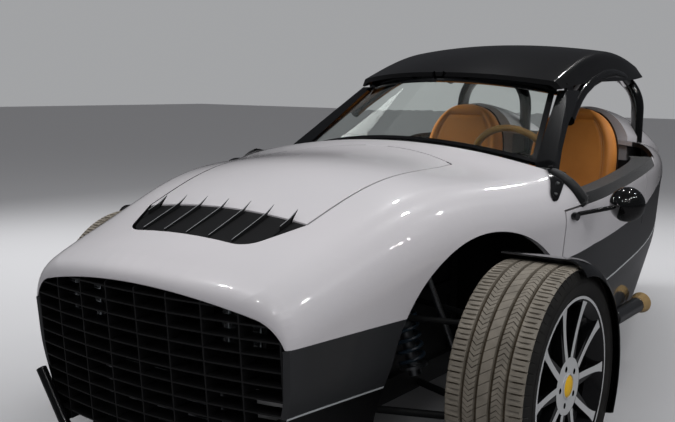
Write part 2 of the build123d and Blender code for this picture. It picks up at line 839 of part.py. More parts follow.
# Roof cap: an arched shell over the screen header and the roll hoops
Roof = namedtuple("Roof", "s top shoulder_x shoulder_z edge_x edge_z shoulder_r")
roof_sections = [
    Roof(775, 1152, 405, 1087, 418, 1068, 12),
    Roof(930, 1203, 408, 1136, 430, 1099, 24),
    Roof(1300, 1270, 410, 1234, 442, 1126, 42),
    Roof(1640, 1264, 406, 1230, 440, 1136, 42),
    Roof(1815, 1236, 394, 1198, 430, 1150, 30),
]
roof_t = 16.0
hoop_saddle = (60.0, 36.0)
hoop_saddle_height = 14.0
pillar_saddle_x = pillar_head[0] - 2
pillar_saddle = (12.0, 60.0)
pillar_saddle_height = 26.0
with BuildPart() as roof_cap:
    for row in roof_sections:
        with BuildSketch(station(row.s)) as sketch:
            shoulder = (row.shoulder_x, row.shoulder_z)
            inner = (row.shoulder_x - roof_t, row.shoulder_z - roof_t * 0.8)
            edge = (row.edge_x, row.edge_z)
            lip = (row.edge_x - roof_t, row.edge_z)
            with BuildLine() as outline:
                ThreePointArc((-shoulder[0], shoulder[1]), (0, row.top), shoulder)
                Polyline(shoulder, edge, lip, inner)
                ThreePointArc(inner, (0, row.top - roof_t), (-inner[0], inner[1]))
                Polyline((-inner[0], inner[1]), (-lip[0], lip[1]), (-edge[0], edge[1]), (-shoulder[0], shoulder[1]))
            make_face(outline.edges())
            for corner, r in ((shoulder, row.shoulder_r), (inner, row.shoulder_r * 0.7)):
                found = [v for v in sketch.vertices()
                         if abs(v.Y - corner[1]) < 0.01 and abs(abs(v.X) - corner[0]) < 0.01]
                fillet(found, r)
    loft()
    with BuildSketch(Plane.XY.offset(1000)):
        with BuildLine():
            nose = (0, world_y(778))
            corner = (520, world_y(985))
            ThreePointArc((-520, world_y(985)), nose, corner)
            Polyline(corner, (520, world_y(600)), (-520, world_y(600)), (-520, world_y(985)))
        make_face()
    extrude(amount=400, mode=Mode.SUBTRACT)
    with BuildSketch(Plane.XY.offset(hoop_top + hoop_tube_r + seat_gap)):
        for x in (-hoop_x, hoop_x):
            with Locations((x, world_y(hoop_s))):
                Rectangle(*hoop_saddle)
    extrude(amount=hoop_saddle_height)
    with BuildSketch(Plane.XY.offset(pillar_head[2] + seat_gap)):
        for x in (-pillar_saddle_x, pillar_saddle_x):
            with Locations((x, world_y(pillar_head[1]))):
                Rectangle(*pillar_saddle)
    extrude(amount=pillar_saddle_height)
save(roof_cap, "roof_cap")

with BuildPart() as roll_hoops:
    for x in (-hoop_x, hoop_x):
        with BuildLine() as hoop_path:
            base = 780.0
            spring = hoop_top - hoop_half
            Line((x - hoop_half, world_y(hoop_s), base), (x - hoop_half, world_y(hoop_s), spring))
            ThreePointArc((x - hoop_half, world_y(hoop_s), spring), (x, world_y(hoop_s), hoop_top),
                          (x + hoop_half, world_y(hoop_s), spring))
            Line((x + hoop_half, world_y(hoop_s), spring), (x + hoop_half, world_y(hoop_s), base))
        with BuildSketch(Plane(origin=(x - hoop_half, world_y(hoop_s), base), z_dir=(0, 0, 1))):
            Circle(hoop_tube_r)
        sweep(path=hoop_path.line)
save(roll_hoops, "roll_hoops")

# Side exhausts: a pipe with a flared tip and a bracket on the tub
with BuildPart() as exhausts:
    with BuildSketch(station(exhaust_start)):
        with Locations((exhaust_x, exhaust_z)):
            Circle(exhaust_r)
            Circle(exhaust_r - 4, mode=Mode.SUBTRACT)
    extrude(amount=-(exhaust_flare - exhaust_start))
    with BuildSketch(station(exhaust_flare)):
        with Locations((exhaust_x, exhaust_z)):
            Circle(exhaust_r + 1)
            Circle(exhaust_r - 4, mode=Mode.SUBTRACT)
    with BuildSketch(station(exhaust_tip)):
        with Locations((exhaust_x, exhaust_z)):
            Circle(exhaust_r + 12)
            Circle(exhaust_r + 7, mode=Mode.SUBTRACT)
    loft()
    with BuildSketch(Plane.YZ.offset(exhaust_bracket_x)):
        with Locations(side_point(exhaust_start + 20, exhaust_z)):
            Rectangle(30, 40)
    extrude(amount=exhaust_x - exhaust_r + 2 - exhaust_bracket_x)
    add(Pos(seat_gap, 0, 0) * floor_tub.part, mode=Mode.SUBTRACT)
    mirror(about=Plane.YZ)
save(exhausts, "exhausts")

# Wheels: a revolved rim and tyre, with five pairs of spokes
spoke_pairs = 5
hub_r = 78.0
hub_bore_r = 32.0
spoke_width = 17.0
spoke_depth = 30.0
hub_boss = 18.0
bolt_circle_r = 52.0
bolt_hole_r = 8.0
face_inset_front = 22.0
face_inset_rear = 60.0
bead_inset = 8.0
fit_gap = 0.3


def wheel_plane(x, s, z, sign):
    """Plane of a wheel's outer face, looking out along the axle."""
    return Plane(origin=(x, world_y(s), z), x_dir=(0, -sign, 0), z_dir=(sign, 0, 0))


def rim_profile(width):
    """Half section of the rim, radius and distance outward from the wheel's middle."""
    half = width / 2 - bead_inset
    return [
        (rim_radius - 30, -half), (rim_radius + rim_lip, -half), (rim_radius + rim_lip, -half + 10),
        (rim_radius, -half + 16), (rim_radius - 22, -half + 50), (rim_radius - 22, half - 46),
        (rim_radius, half - 16), (rim_radius + rim_lip, half - 10), (rim_radius + rim_lip, half),
        (rim_radius + rim_lip - 8, half), (rim_radius - 10, half - 12), (rim_radius - 32, half - 40),
        (rim_radius - 32, -half + 50),
    ]


def make_rim(x, s, z, sign, width, face_inset):
    axle = Plane(origin=(x, world_y(s), z), x_dir=(0, 0, 1), z_dir=(0, sign, 0))
    face = wheel_plane(x + sign * (width / 2 - face_inset), s, z, sign)
    with BuildPart() as rim:
        with BuildSketch(axle):
            with BuildLine():
                Polyline(*[(r, a) for r, a in rim_profile(width)], close=True)
            make_face()
        revolve(axis=Axis((x, world_y(s), z), (1, 0, 0)))
        with BuildSketch(face.offset(-spoke_depth - hub_boss)):
            Circle(hub_r)
            Circle(hub_bore_r, mode=Mode.SUBTRACT)
        extrude(amount=spoke_depth + hub_boss)
        with BuildSketch(face.offset(-spoke_depth)):
            for pair in range(spoke_pairs):
                centre = 90 + pair * 360 / spoke_pairs
                for lean in (-1, 1):
                    with BuildLine():
                        inner_turn = radians(centre + lean * 9)
                        outer_turn = radians(centre + lean * 17.5)
                        start = Vector(hub_r * 0.7 * cos(inner_turn), hub_r * 0.7 * sin(inner_turn))
                        end = Vector((rim_radius - 26) * cos(outer_turn), (rim_radius - 26) * sin(outer_turn))
                        along = (end - start).normalized()
                        across = Vector(-along.Y, along.X) * (spoke_width / 2)
                        Polyline(start - across * 1.3, end - across * 0.9, end + across * 0.9,
                                 start + across * 1.3, close=True)
                    make_face()
        extrude(amount=spoke_depth)
        with BuildSketch(face.offset(-spoke_depth - 30)):
            with PolarLocations(bolt_circle_r, spoke_pairs):
                Circle(bolt_hole_r)
        extrude(amount=60, mode=Mode.SUBTRACT)
    return rim


def make_tyre(x, s, z, sign, radius, width):
    axle = Plane(origin=(x, world_y(s), z), x_dir=(0, 0, 1), z_dir=(0, sign, 0))
    bead = rim_radius + rim_lip + fit_gap
    half = width / 2
    seat = half - bead_inset
    with BuildPart() as tyre:
        with BuildSketch(axle):
            with BuildLine():
                Line((bead, -seat + 2), (bead, seat - 2))
                ThreePointArc((bead, seat - 2), (bead + 0.45 * (radius - bead), half), (radius - 16, half - 12))
                ThreePointArc((radius - 16, half - 12), (radius - 5, half - 20), (radius - 1, half - 34))
                ThreePointArc((radius - 1, half - 34), (radius, 0), (radius - 1, -half + 34))
                ThreePointArc((radius - 1, -half + 34), (radius - 5, -half + 20), (radius - 16, -half + 12))
                ThreePointArc((radius - 16, -half + 12), (bead + 0.45 * (radius - bead), -half), (bead, -seat + 2))
            make_face()
        revolve(axis=Axis((x, world_y(s), z), (1, 0, 0)))
    return tyre


front_axle_z = front_tyre_radius
for side, sign in (("left", 1), ("right", -1)):
    rim = make_rim(sign * front_wheel_x, 0, front_axle_z, sign, front_tyre_width, face_inset_front)
    save(rim, f"rim_{side}")
    tyre = make_tyre(sign * front_wheel_x, 0, front_axle_z, sign, front_tyre_radius, front_tyre_width)
    save(tyre, f"tyre_{side}")
rim = make_rim(0, wheelbase, rear_tyre_radius, 1, rear_tyre_width, face_inset_rear)
save(rim, "rim_rear")
tyre = make_tyre(0, wheelbase, rear_tyre_radius, 1, rear_tyre_radius, rear_tyre_width)
save(tyre, "tyre_rear")

# Front uprights with a stub axle, and the cycle wings they carry
kingpin_x = 700.0
upright_low = 205.0
upright_high = 437.0
hub_face_x = front_wheel_x + front_tyre_width / 2 - face_inset_front
stub_end = 4.0
stub_r = hub_bore_r - 0.05
disc_x = 742.0
disc_r = 150.0
disc_t = 10.0
disc_room = 6.0
wing_r = front_tyre_radius + 13
wing_t = 5.0
wing_inner_x = 643.0
wing_outer_x = 884.0
wing_arc = 118.0
stay_x = 616.0
stay_t = 8.0
stay_turns = (60.0, 100.0)
for side, sign in (("left", 1), ("right", -1)):
    with BuildPart() as upright:
        with BuildSketch(Plane.XY.offset(upright_low)):
            with Locations((sign * kingpin_x, front_axle_y)):
                RectangleRounded(38, 70, 10)
        extrude(amount=upright_high - upright_low)
        with BuildSketch(Plane.YZ.offset(sign * (kingpin_x - 6))):
            with Locations((front_axle_y + 95, front_axle_z)):
                Rectangle(130, 40)
        extrude(amount=sign * 12)
        with BuildSketch(Plane.YZ.offset(sign * (kingpin_x - 10))):
            with Locations((front_axle_y + 160, front_axle_z + 10)):
                Rectangle(36, 100)
        extrude(amount=sign * 86)
        with BuildSketch(Plane.YZ.offset(sign * (disc_x - disc_room))):
            with Locations((front_axle_y, front_axle_z)):
                Circle(disc_r + disc_room)
        extrude(amount=sign * (disc_t + 2 * disc_room), mode=Mode.SUBTRACT)
        with BuildSketch(Plane.YZ.offset(sign * kingpin_x)):
            with Locations((front_axle_y, front_axle_z)):
                Circle(stub_r)
        extrude(amount=sign * (hub_face_x - kingpin_x - stub_end))
        with BuildSketch(Plane.YZ.offset(sign * stay_x)):
            with Locations((front_axle_y, front_axle_z)):
                Circle(42)
                for turn in stay_turns:
                    with Locations(Location((0, 0), 90 - turn)):
                        with Locations((wing_r / 2, 0)):
                            Rectangle(wing_r, 26)
        extrude(amount=sign * stay_t)
        with BuildSketch(Plane.YZ.offset(sign * (stay_x + stay_t))):
            with Locations((front_axle_y, front_axle_z)):
                Circle(36)
        extrude(amount=sign * (kingpin_x - 19 - stay_x - stay_t))
        with BuildSketch(Plane.YZ.offset(sign * stay_x)):
            with Locations((front_axle_y, front_axle_z)):
                for turn in stay_turns:
                    with Locations(Location((0, 0), 90 - turn)):
                        with Locations((wing_r, 0)):
                            Rectangle(10, 26)
        extrude(amount=sign * (wing_inner_x - seat_gap - stay_x))
    save(upright, f"upright_{side}")
    with BuildPart() as wing:
        with BuildSketch(Plane(origin=(0, front_axle_y, front_axle_z), x_dir=(sign, 0, 0), z_dir=(0, -sign, 0))):
            with BuildLine():
                Line((wing_inner_x, wing_r), (820, wing_r))
                ThreePointArc((820, wing_r), (862, wing_r - 10), (wing_outer_x, wing_r - 36))
                Line((wing_outer_x, wing_r - 36), (wing_outer_x + wing_t, wing_r - 36))
                ThreePointArc((wing_outer_x + wing_t, wing_r - 36), (866, wing_r - 6), (820, wing_r + wing_t))
                Line((820, wing_r + wing_t), (wing_inner_x, wing_r + wing_t))
                Line((wing_inner_x, wing_r + wing_t), (wing_inner_x, wing_r))
            make_face()
        revolve(axis=Axis((0, front_axle_y, front_axle_z), (-1, 0, 0)), revolution_arc=wing_arc)
    save(wing, f"cycle_wing_{side}")
    with BuildPart() as disc:
        with BuildSketch(Plane.YZ.offset(sign * disc_x)):
            with Locations((front_axle_y, front_axle_z)):
                Circle(disc_r)
                Circle(hub_bore_r + 0.05, mode=Mode.SUBTRACT)
        extrude(amount=sign * disc_t)
        with BuildSketch(Plane.YZ.offset(sign * (disc_x + disc_t))):
            with Locations((front_axle_y, front_axle_z)):
                Circle(60)
                Circle(hub_bore_r + 0.05, mode=Mode.SUBTRACT)
        extrude(amount=sign * (hub_face_x - spoke_depth - hub_boss - disc_x - disc_t - seat_gap))
    save(disc, f"brake_disc_{side}")

# Suspension arms, rockers and pushrods
arm_boss_r = 17.0
for label, z, tube_r, foot_x, spread, boss in (
    ("lower", lower_arm_z, 11.0, rail_x + 25 + seat_gap, 150.0, (lower_arm_z - 14, upright_low - seat_gap)),
    ("upper", upper_arm_z, 9.0, rail_x + 18 + seat_gap, 120.0, (upright_high + seat_gap, upper_arm_z + 12)),
):
    with BuildPart() as arms:
        for lean in (-1, 1):
            start = Vector(foot_x, front_axle_y + lean * spread, z)
            end = Vector(kingpin_x, front_axle_y, z)
            with BuildSketch(Plane(origin=start, z_dir=end - start)):
                Circle(tube_r)
            extrude(amount=(end - start).length)
        with BuildSketch(Plane.XY.offset(boss[0])):
            with Locations((kingpin_x, front_axle_y)):
                Circle(arm_boss_r)
        extrude(amount=boss[1] - boss[0])
        with BuildSketch(Plane.YZ.offset(foot_x - 40)):
            Rectangle(9000, 3000)
        extrude(amount=40, mode=Mode.SUBTRACT)
        mirror(about=Plane.YZ)
    save(arms, f"{label}_arms")

rod_top = Vector(rocker_x + 16, world_y(-40), 622)
rod_foot = Vector(585, world_y(-2), lower_arm_z + 16)
with BuildPart() as rockers:
    with BuildSketch(Plane.YZ.offset(rocker_x)):
        with BuildLine():
            Polyline(side_point(-66, 640), side_point(125, 650), side_point(140, 610), side_point(75, 575),
                     side_point(-55, 600), close=True)
        make_face()
    extrude(amount=8)
    with BuildSketch(Plane(origin=rod_top, z_dir=rod_foot - rod_top)):
        Circle(9)
    extrude(amount=(rod_foot - rod_top).length)
    mirror(about=Plane.YZ)
save(rockers, "rockers")

# Rear swingarm with its axle stub, and the spring strut
arm_x = -206.0
arm_t = 30.0
with BuildPart() as swingarm:
    with BuildSketch(Plane.YZ.offset(arm_x - arm_t / 2)):
        with BuildLine():
            Polyline(side_point(2010, 375), side_point(2300, 405), side_point(2600, 378), side_point(2600, 278),
                     side_point(2300, 285), side_point(2010, 290), close=True)
        make_face()
    extrude(amount=arm_t)
    with BuildSketch(Plane.YZ.offset(arm_x)):
        with Locations(side_point(*swingarm_pivot)):
            Circle(pivot_r)
    extrude(amount=2 * abs(arm_x) + 12)
    with BuildSketch(Plane.YZ.offset(arm_x)):
        with Locations(side_point(wheelbase, rear_tyre_radius)):
            Circle(stub_r)
    extrude(amount=rear_tyre_width / 2 - face_inset_rear - stub_end - arm_x)
    with BuildSketch(Plane.YZ.offset(arm_x - arm_t / 2)):
        with Locations(side_point(*strut_foot)):
            Circle(strut_pin_r + 14)
        with Locations(side_point(strut_foot[0], strut_foot[1] - 30)):
            Rectangle(2 * strut_pin_r + 28, 60)
    extrude(amount=arm_t)
    with BuildSketch(Plane.YZ.offset(arm_x - arm_t / 2)):
        with Locations(side_point(*strut_foot)):
            Circle(strut_pin_r)
    extrude(amount=strut_x - strut_eye / 2 - arm_x + arm_t / 2)
save(swingarm, "swingarm")

with BuildPart() as rear_strut:
    top = Vector(strut_x, world_y(strut_top[0]), strut_top[1])
    run = Vector(strut_x, world_y(strut_foot[0]), strut_foot[1]) - top
    with BuildSketch(Plane(origin=top, z_dir=run)):
        Circle(12)
    extrude(amount=run.length)
    with BuildSketch(Plane(origin=top + run * 0.2, z_dir=run)):
        Circle(30)
    extrude(amount=run.length * 0.55)
    for eye in (strut_top, strut_foot):
        with BuildSketch(Plane.YZ.offset(strut_x - strut_eye / 2)):
            with Locations(side_point(*eye)):
                Circle(strut_pin_r + 10)
        extrude(amount=strut_eye)
    for eye in (strut_top, strut_foot):
        with BuildSketch(Plane.YZ.offset(strut_x - strut_eye)):
            with Locations(side_point(*eye)):
                Circle(strut_pin_r + seat_gap)
        extrude(amount=2 * strut_eye, mode=Mode.SUBTRACT)
save(rear_strut, "rear_strut")

# Tail lamps
with BuildPart() as tail_lamps:
    with BuildSketch(station(body_end + seat_gap)):
        with Locations((84, 590), (-84, 590)):
            Circle(27)
    extrude(amount=-(lamp_stand))
save(tail_lamps, "tail_lamps")

# Door mirrors: an egg-shaped pod on a stalk
pod = Vector(800, world_y(538), 747)
pod_r = 54.0
pod_depth = 44.0
pod_back = 30.0
stalk_foot = Vector(672, world_y(411), 716)
for side, sign in (("left", 1), ("right", -1)):
    with BuildPart() as mirror_pod:
        with BuildSketch(Plane(origin=pod, x_dir=(1, 0, 0), z_dir=(0, 0, 1))):
            with BuildLine():
                Line((0, pod_back), (pod_r, pod_back))
                ThreePointArc((pod_r, pod_back), (0.76 * pod_r, -0.4 * pod_depth), (0, -pod_depth))
                Line((0, -pod_depth), (0, pod_back))
            make_face()
        revolve(axis=Axis(pod, (0, 1, 0)))
        with BuildSketch(Plane(origin=stalk_foot, z_dir=pod - stalk_foot)):
            Circle(7)
        extrude(amount=(pod - stalk_foot).length)
        with BuildSketch(Plane.YZ.offset(stalk_foot.X)):
            with Locations((stalk_foot.Y, stalk_foot.Z)):
                Ellipse(20, 13)
        extrude(amount=28)
        add(Pos(seat_gap, 0, 0) * outer, mode=Mode.SUBTRACT)
        if sign < 0:
            mirror(about=Plane.YZ, mode=Mode.REPLACE)
    save(mirror_pod, f"mirror_{side}")
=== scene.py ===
import json
from math import atan2, cos, hypot, pi, radians, sin

import bmesh
import bpy
from mathutils import Matrix, Vector
from mathutils.bvhtree import BVHTree


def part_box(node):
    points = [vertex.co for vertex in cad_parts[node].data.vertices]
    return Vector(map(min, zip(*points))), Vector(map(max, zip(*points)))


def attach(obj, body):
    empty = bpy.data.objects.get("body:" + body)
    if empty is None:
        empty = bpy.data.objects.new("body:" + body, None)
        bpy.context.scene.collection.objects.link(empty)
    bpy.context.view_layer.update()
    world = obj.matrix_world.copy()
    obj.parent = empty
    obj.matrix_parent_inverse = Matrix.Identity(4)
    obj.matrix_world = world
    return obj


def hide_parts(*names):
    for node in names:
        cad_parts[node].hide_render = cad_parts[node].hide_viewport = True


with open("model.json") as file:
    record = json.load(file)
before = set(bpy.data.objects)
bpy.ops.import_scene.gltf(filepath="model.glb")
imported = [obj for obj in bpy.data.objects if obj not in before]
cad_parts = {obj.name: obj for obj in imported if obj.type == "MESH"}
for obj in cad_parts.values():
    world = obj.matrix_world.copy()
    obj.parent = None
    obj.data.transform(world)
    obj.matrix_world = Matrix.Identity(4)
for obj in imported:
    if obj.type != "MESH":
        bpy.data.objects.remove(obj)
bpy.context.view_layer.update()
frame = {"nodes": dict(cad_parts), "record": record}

scene = bpy.context.scene
bodyOf = {node: body for body, nodes in frame["record"]["behaviour"]["bodies"].items() for node in nodes}
# stations count from the front axle, to the rear
frontAxleY = (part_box("tyre_left")[0].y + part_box("tyre_left")[1].y) / 2
outside = 1.2  # a distance beyond the skin on every side, where rays start


# Colours and nodes

def hexColour(code):
    channels = [int(code[i:i + 2], 16) / 255 for i in (1, 3, 5)]
    return (*[c / 12.92 if c <= 0.04045 else ((c + 0.055) / 1.055) ** 2.4 for c in channels], 1.0)


def addNode(tree, kind, settings=None, links=None):
    node = tree.nodes.new(kind)
    for key, value in (settings or {}).items():
        setattr(node, key, value)
    for key, value in (links or {}).items():
        if isinstance(value, bpy.types.NodeSocket):
            tree.links.new(value, node.inputs[key])
        else:
            node.inputs[key].default_value = value
    return node


def newMaterial(name, colour, **sockets):
    material = bpy.data.materials.new(name)
    material.use_nodes = True
    tree = material.node_tree
    shader = tree.nodes["Principled BSDF"]
    shader.inputs["Base Color"].default_value = hexColour(colour)
    for key, value in sockets.items():
        shader.inputs[key.replace("_", " ")].default_value = value
    material.diffuse_color = hexColour(colour)
    return material, tree, shader


def objectPoint(tree, scale=(1, 1, 1), turn=(0, 0, 0), place=(0, 0, 0)):
    point = addNode(tree, "ShaderNodeTexCoord")
    mapping = addNode(tree, "ShaderNodeMapping", {}, {
        "Vector": point.outputs["Object"], "Scale": scale, "Rotation": turn, "Location": place})
    return mapping.outputs["Vector"]


def bumpFrom(tree, shader, height, strength, depth):
    bump = addNode(tree, "ShaderNodeBump", {}, {"Height": height, "Strength": strength, "Distance": depth})
    tree.links.new(bump.outputs["Normal"], shader.inputs["Normal"])


def grainNoise(tree, grainMm, detail=2.0, rough=0.5, vector=None):
    # one noise cell per grain: the scale is cells per metre
    return addNode(tree, "ShaderNodeTexNoise", {}, {
        "Vector": vector or objectPoint(tree), "Scale": 1000 / grainMm, "Detail": detail, "Roughness": rough})


def mixColour(tree, share, first, second):
    mix = addNode(tree, "ShaderNodeMix", {"data_type": "RGBA"})
    for socket, value in ((mix.inputs[0], share), (mix.inputs[6], first), (mix.inputs[7], second)):
        if isinstance(value, bpy.types.NodeSocket):
            tree.links.new(value, socket)
        else:
            socket.default_value = value
    return mix.outputs[2]


def setTones(tree, shader, share, first, second):
    # the base colour runs from the first tone to the second by share
    toned = mixColour(tree, share, hexColour(first), hexColour(second))
    tree.links.new(toned, shader.inputs["Base Color"])


def remap(tree, value, low, high, newLow=0.0, newHigh=1.0):
    node = addNode(tree, "ShaderNodeMapRange", {}, {
        "Value": value, "From Min": low, "From Max": high, "To Min": newLow, "To Max": newHigh})
    return node.outputs["Result"]


# Finishes

def paintedEnamel(name, colour, shade, rough, coat, peelMm=6.0, peelDepth=0.00004):
    # sprayed two-pack enamel: even colour, a clear coat and a faint orange peel in the reflections
    material, tree, shader = newMaterial(name, colour, Roughness=rough, Coat_Weight=coat, Coat_Roughness=0.03,
                                         IOR=1.5)
    cloud = grainNoise(tree, 420, 3.0)
    setTones(tree, shader, remap(tree, cloud.outputs["Fac"], 0.3, 0.7), colour, shade)
    peel = grainNoise(tree, peelMm, 1.0)
    bumpFrom(tree, shader, peel.outputs["Fac"], 0.25, peelDepth)
    return material


def powderCoat(name, colour, shade, rough, grainMm=1.2, depth=0.0001):
    # baked powder: fine pebbled skin, a soft broken highlight
    material, tree, shader = newMaterial(name, colour, Roughness=rough, IOR=1.5)
    grain = grainNoise(tree, grainMm, 2.0)
    setTones(tree, shader, grain.outputs["Fac"], colour, shade)
    bumpFrom(tree, shader, grain.outputs["Fac"], 0.35, depth)
    return material


def brushedMetal(name, colour, shade, rough, stretch=(1, 1, 1), grainMm=1.0, depth=0.00005, metal=1.0):
    # drawn or brushed metal: streaks along one way in colour, gloss and bump
    material, tree, shader = newMaterial(name, colour, Metallic=metal, Roughness=rough)
    streak = grainNoise(tree, grainMm, 3.0, 0.6, objectPoint(tree, stretch))
    setTones(tree, shader, streak.outputs["Fac"], shade, colour)
    tree.links.new(remap(tree, streak.outputs["Fac"], 0.2, 0.8, rough * 0.75, rough * 1.35),
                   shader.inputs["Roughness"])
    bumpFrom(tree, shader, streak.outputs["Fac"], 0.2, depth)
    return material


def castMetal(name, colour, shade, rough, grainMm=2.5):
    # sand-cast and tumbled alloy: grainy and dull, with painted shade in the pits
    material, tree, shader = newMaterial(name, colour, Metallic=0.9, Roughness=rough)
    grain = grainNoise(tree, grainMm, 4.0, 0.65)
    # the pits of the grain take the darker tone: painted shade
    setTones(tree, shader, grain.outputs["Fac"], shade, colour)
    bumpFrom(tree, shader, grain.outputs["Fac"], 0.5, 0.0003)
    return material


def turnedMetal(name, colour, shade, rough, centre, ringMm=1.6):
    # lathe-turned face: fine rings about the axle that spread the highlight into a fan
    material, tree, shader = newMaterial(name, colour, Metallic=1.0, Roughness=rough)
    point = objectPoint(tree, place=(-centre[0], -centre[1], -centre[2]))
    rings = addNode(tree, "ShaderNodeTexWave", {"wave_type": "RINGS", "rings_direction": "X"}, {
        "Vector": point, "Scale": 1000 / ringMm / 20, "Distortion": 0.0})
    setTones(tree, shader, rings.outputs["Fac"], shade, colour)
    bumpFrom(tree, shader, rings.outputs["Fac"], 0.15, 0.00004)
    return material


def grainedLeather(name, colour, shade, rough, pebbleMm=2.2, creaseDepth=0.0004):
    # dyed cowhide: pebbles with painted shade in the creases between, a low sheen on the tops
    material, tree, shader = newMaterial(name, colour, Roughness=rough, IOR=1.45, Sheen_Weight=0.15,
                                         Sheen_Roughness=0.4)
    point = objectPoint(tree)
    pebble = addNode(tree, "ShaderNodeTexVoronoi", {"feature": "DISTANCE_TO_EDGE"}, {
        "Vector": point, "Scale": 1000 / pebbleMm})
    crease = remap(tree, pebble.outputs["Distance"], 0.0, 0.18)
    cloud = grainNoise(tree, 70, 3.0, 0.5, point)
    toned = mixColour(tree, cloud.outputs["Fac"], hexColour(shade), hexColour(colour))
    # the creases take the darker tone: painted shade
    tree.links.new(mixColour(tree, remap(tree, crease, 0, 1, 0.72, 1.0), hexColour(shade), toned),
                   shader.inputs["Base Color"])
    bumpFrom(tree, shader, crease, 0.35, creaseDepth)
    return material


def mouldedRubber(name, colour, shade, rough, grainMm=1.5, depth=0.0001):
    # vulcanised rubber: dull black-brown with a dusty break-up
    material, tree, shader = newMaterial(name, colour, Roughness=rough, IOR=1.5)
    dust = grainNoise(tree, 45, 4.0, 0.6)
    grain = grainNoise(tree, grainMm, 2.0)
    setTones(tree, shader, remap(tree, dust.outputs["Fac"], 0.35, 0.7), colour, shade)
    bumpFrom(tree, shader, grain.outputs["Fac"], 0.3, depth)
    return material


def clearGlass(name, colour, rough, ior):
    # clear or tinted pane: colour only where light passes through
    material, tree, shader = newMaterial(name, colour, Roughness=rough, IOR=ior, Transmission_Weight=1.0)
    smear = grainNoise(tree, 90, 4.0)
    tree.links.new(remap(tree, smear.outputs["Fac"], 0.45, 0.75, rough, rough + 0.02),
                   shader.inputs["Roughness"])
    return material


def finnedMetal(name, colour, shade, pitchMm):
    # pressed radiator core: thin upright fins, drawn coarser than the real 1.5 mm so that they show, with
    # painted shade in the gaps between them
    material, tree, shader = newMaterial(name, colour, Metallic=1.0, Roughness=0.4)
    fins = addNode(tree, "ShaderNodeTexWave", {"bands_direction": "X"}, {
        "Vector": objectPoint(tree), "Scale": 1000 / pitchMm / 20})
    rows = addNode(tree, "ShaderNodeTexWave", {"bands_direction": "Z"}, {
        "Vector": objectPoint(tree), "Scale": 1000 / (pitchMm * 3) / 20})
    # the near-black bands between the fins are painted shade
    fine = mixColour(tree, fins.outputs["Fac"], hexColour(shade), hexColour(colour))
    tree.links.new(mixColour(tree, remap(tree, rows.outputs["Fac"], 0.6, 0.8), fine, hexColour(colour)),
                   shader.inputs["Base Color"])
    bumpFrom(tree, shader, fins.outputs["Fac"], 0.6, 0.001)
    return material


wheelCentre = {}
for wheel in ("left", "right", "rear"):
    low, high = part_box(f"tyre_{wheel}")
    wheelCentre[wheel] = (low + high) / 2

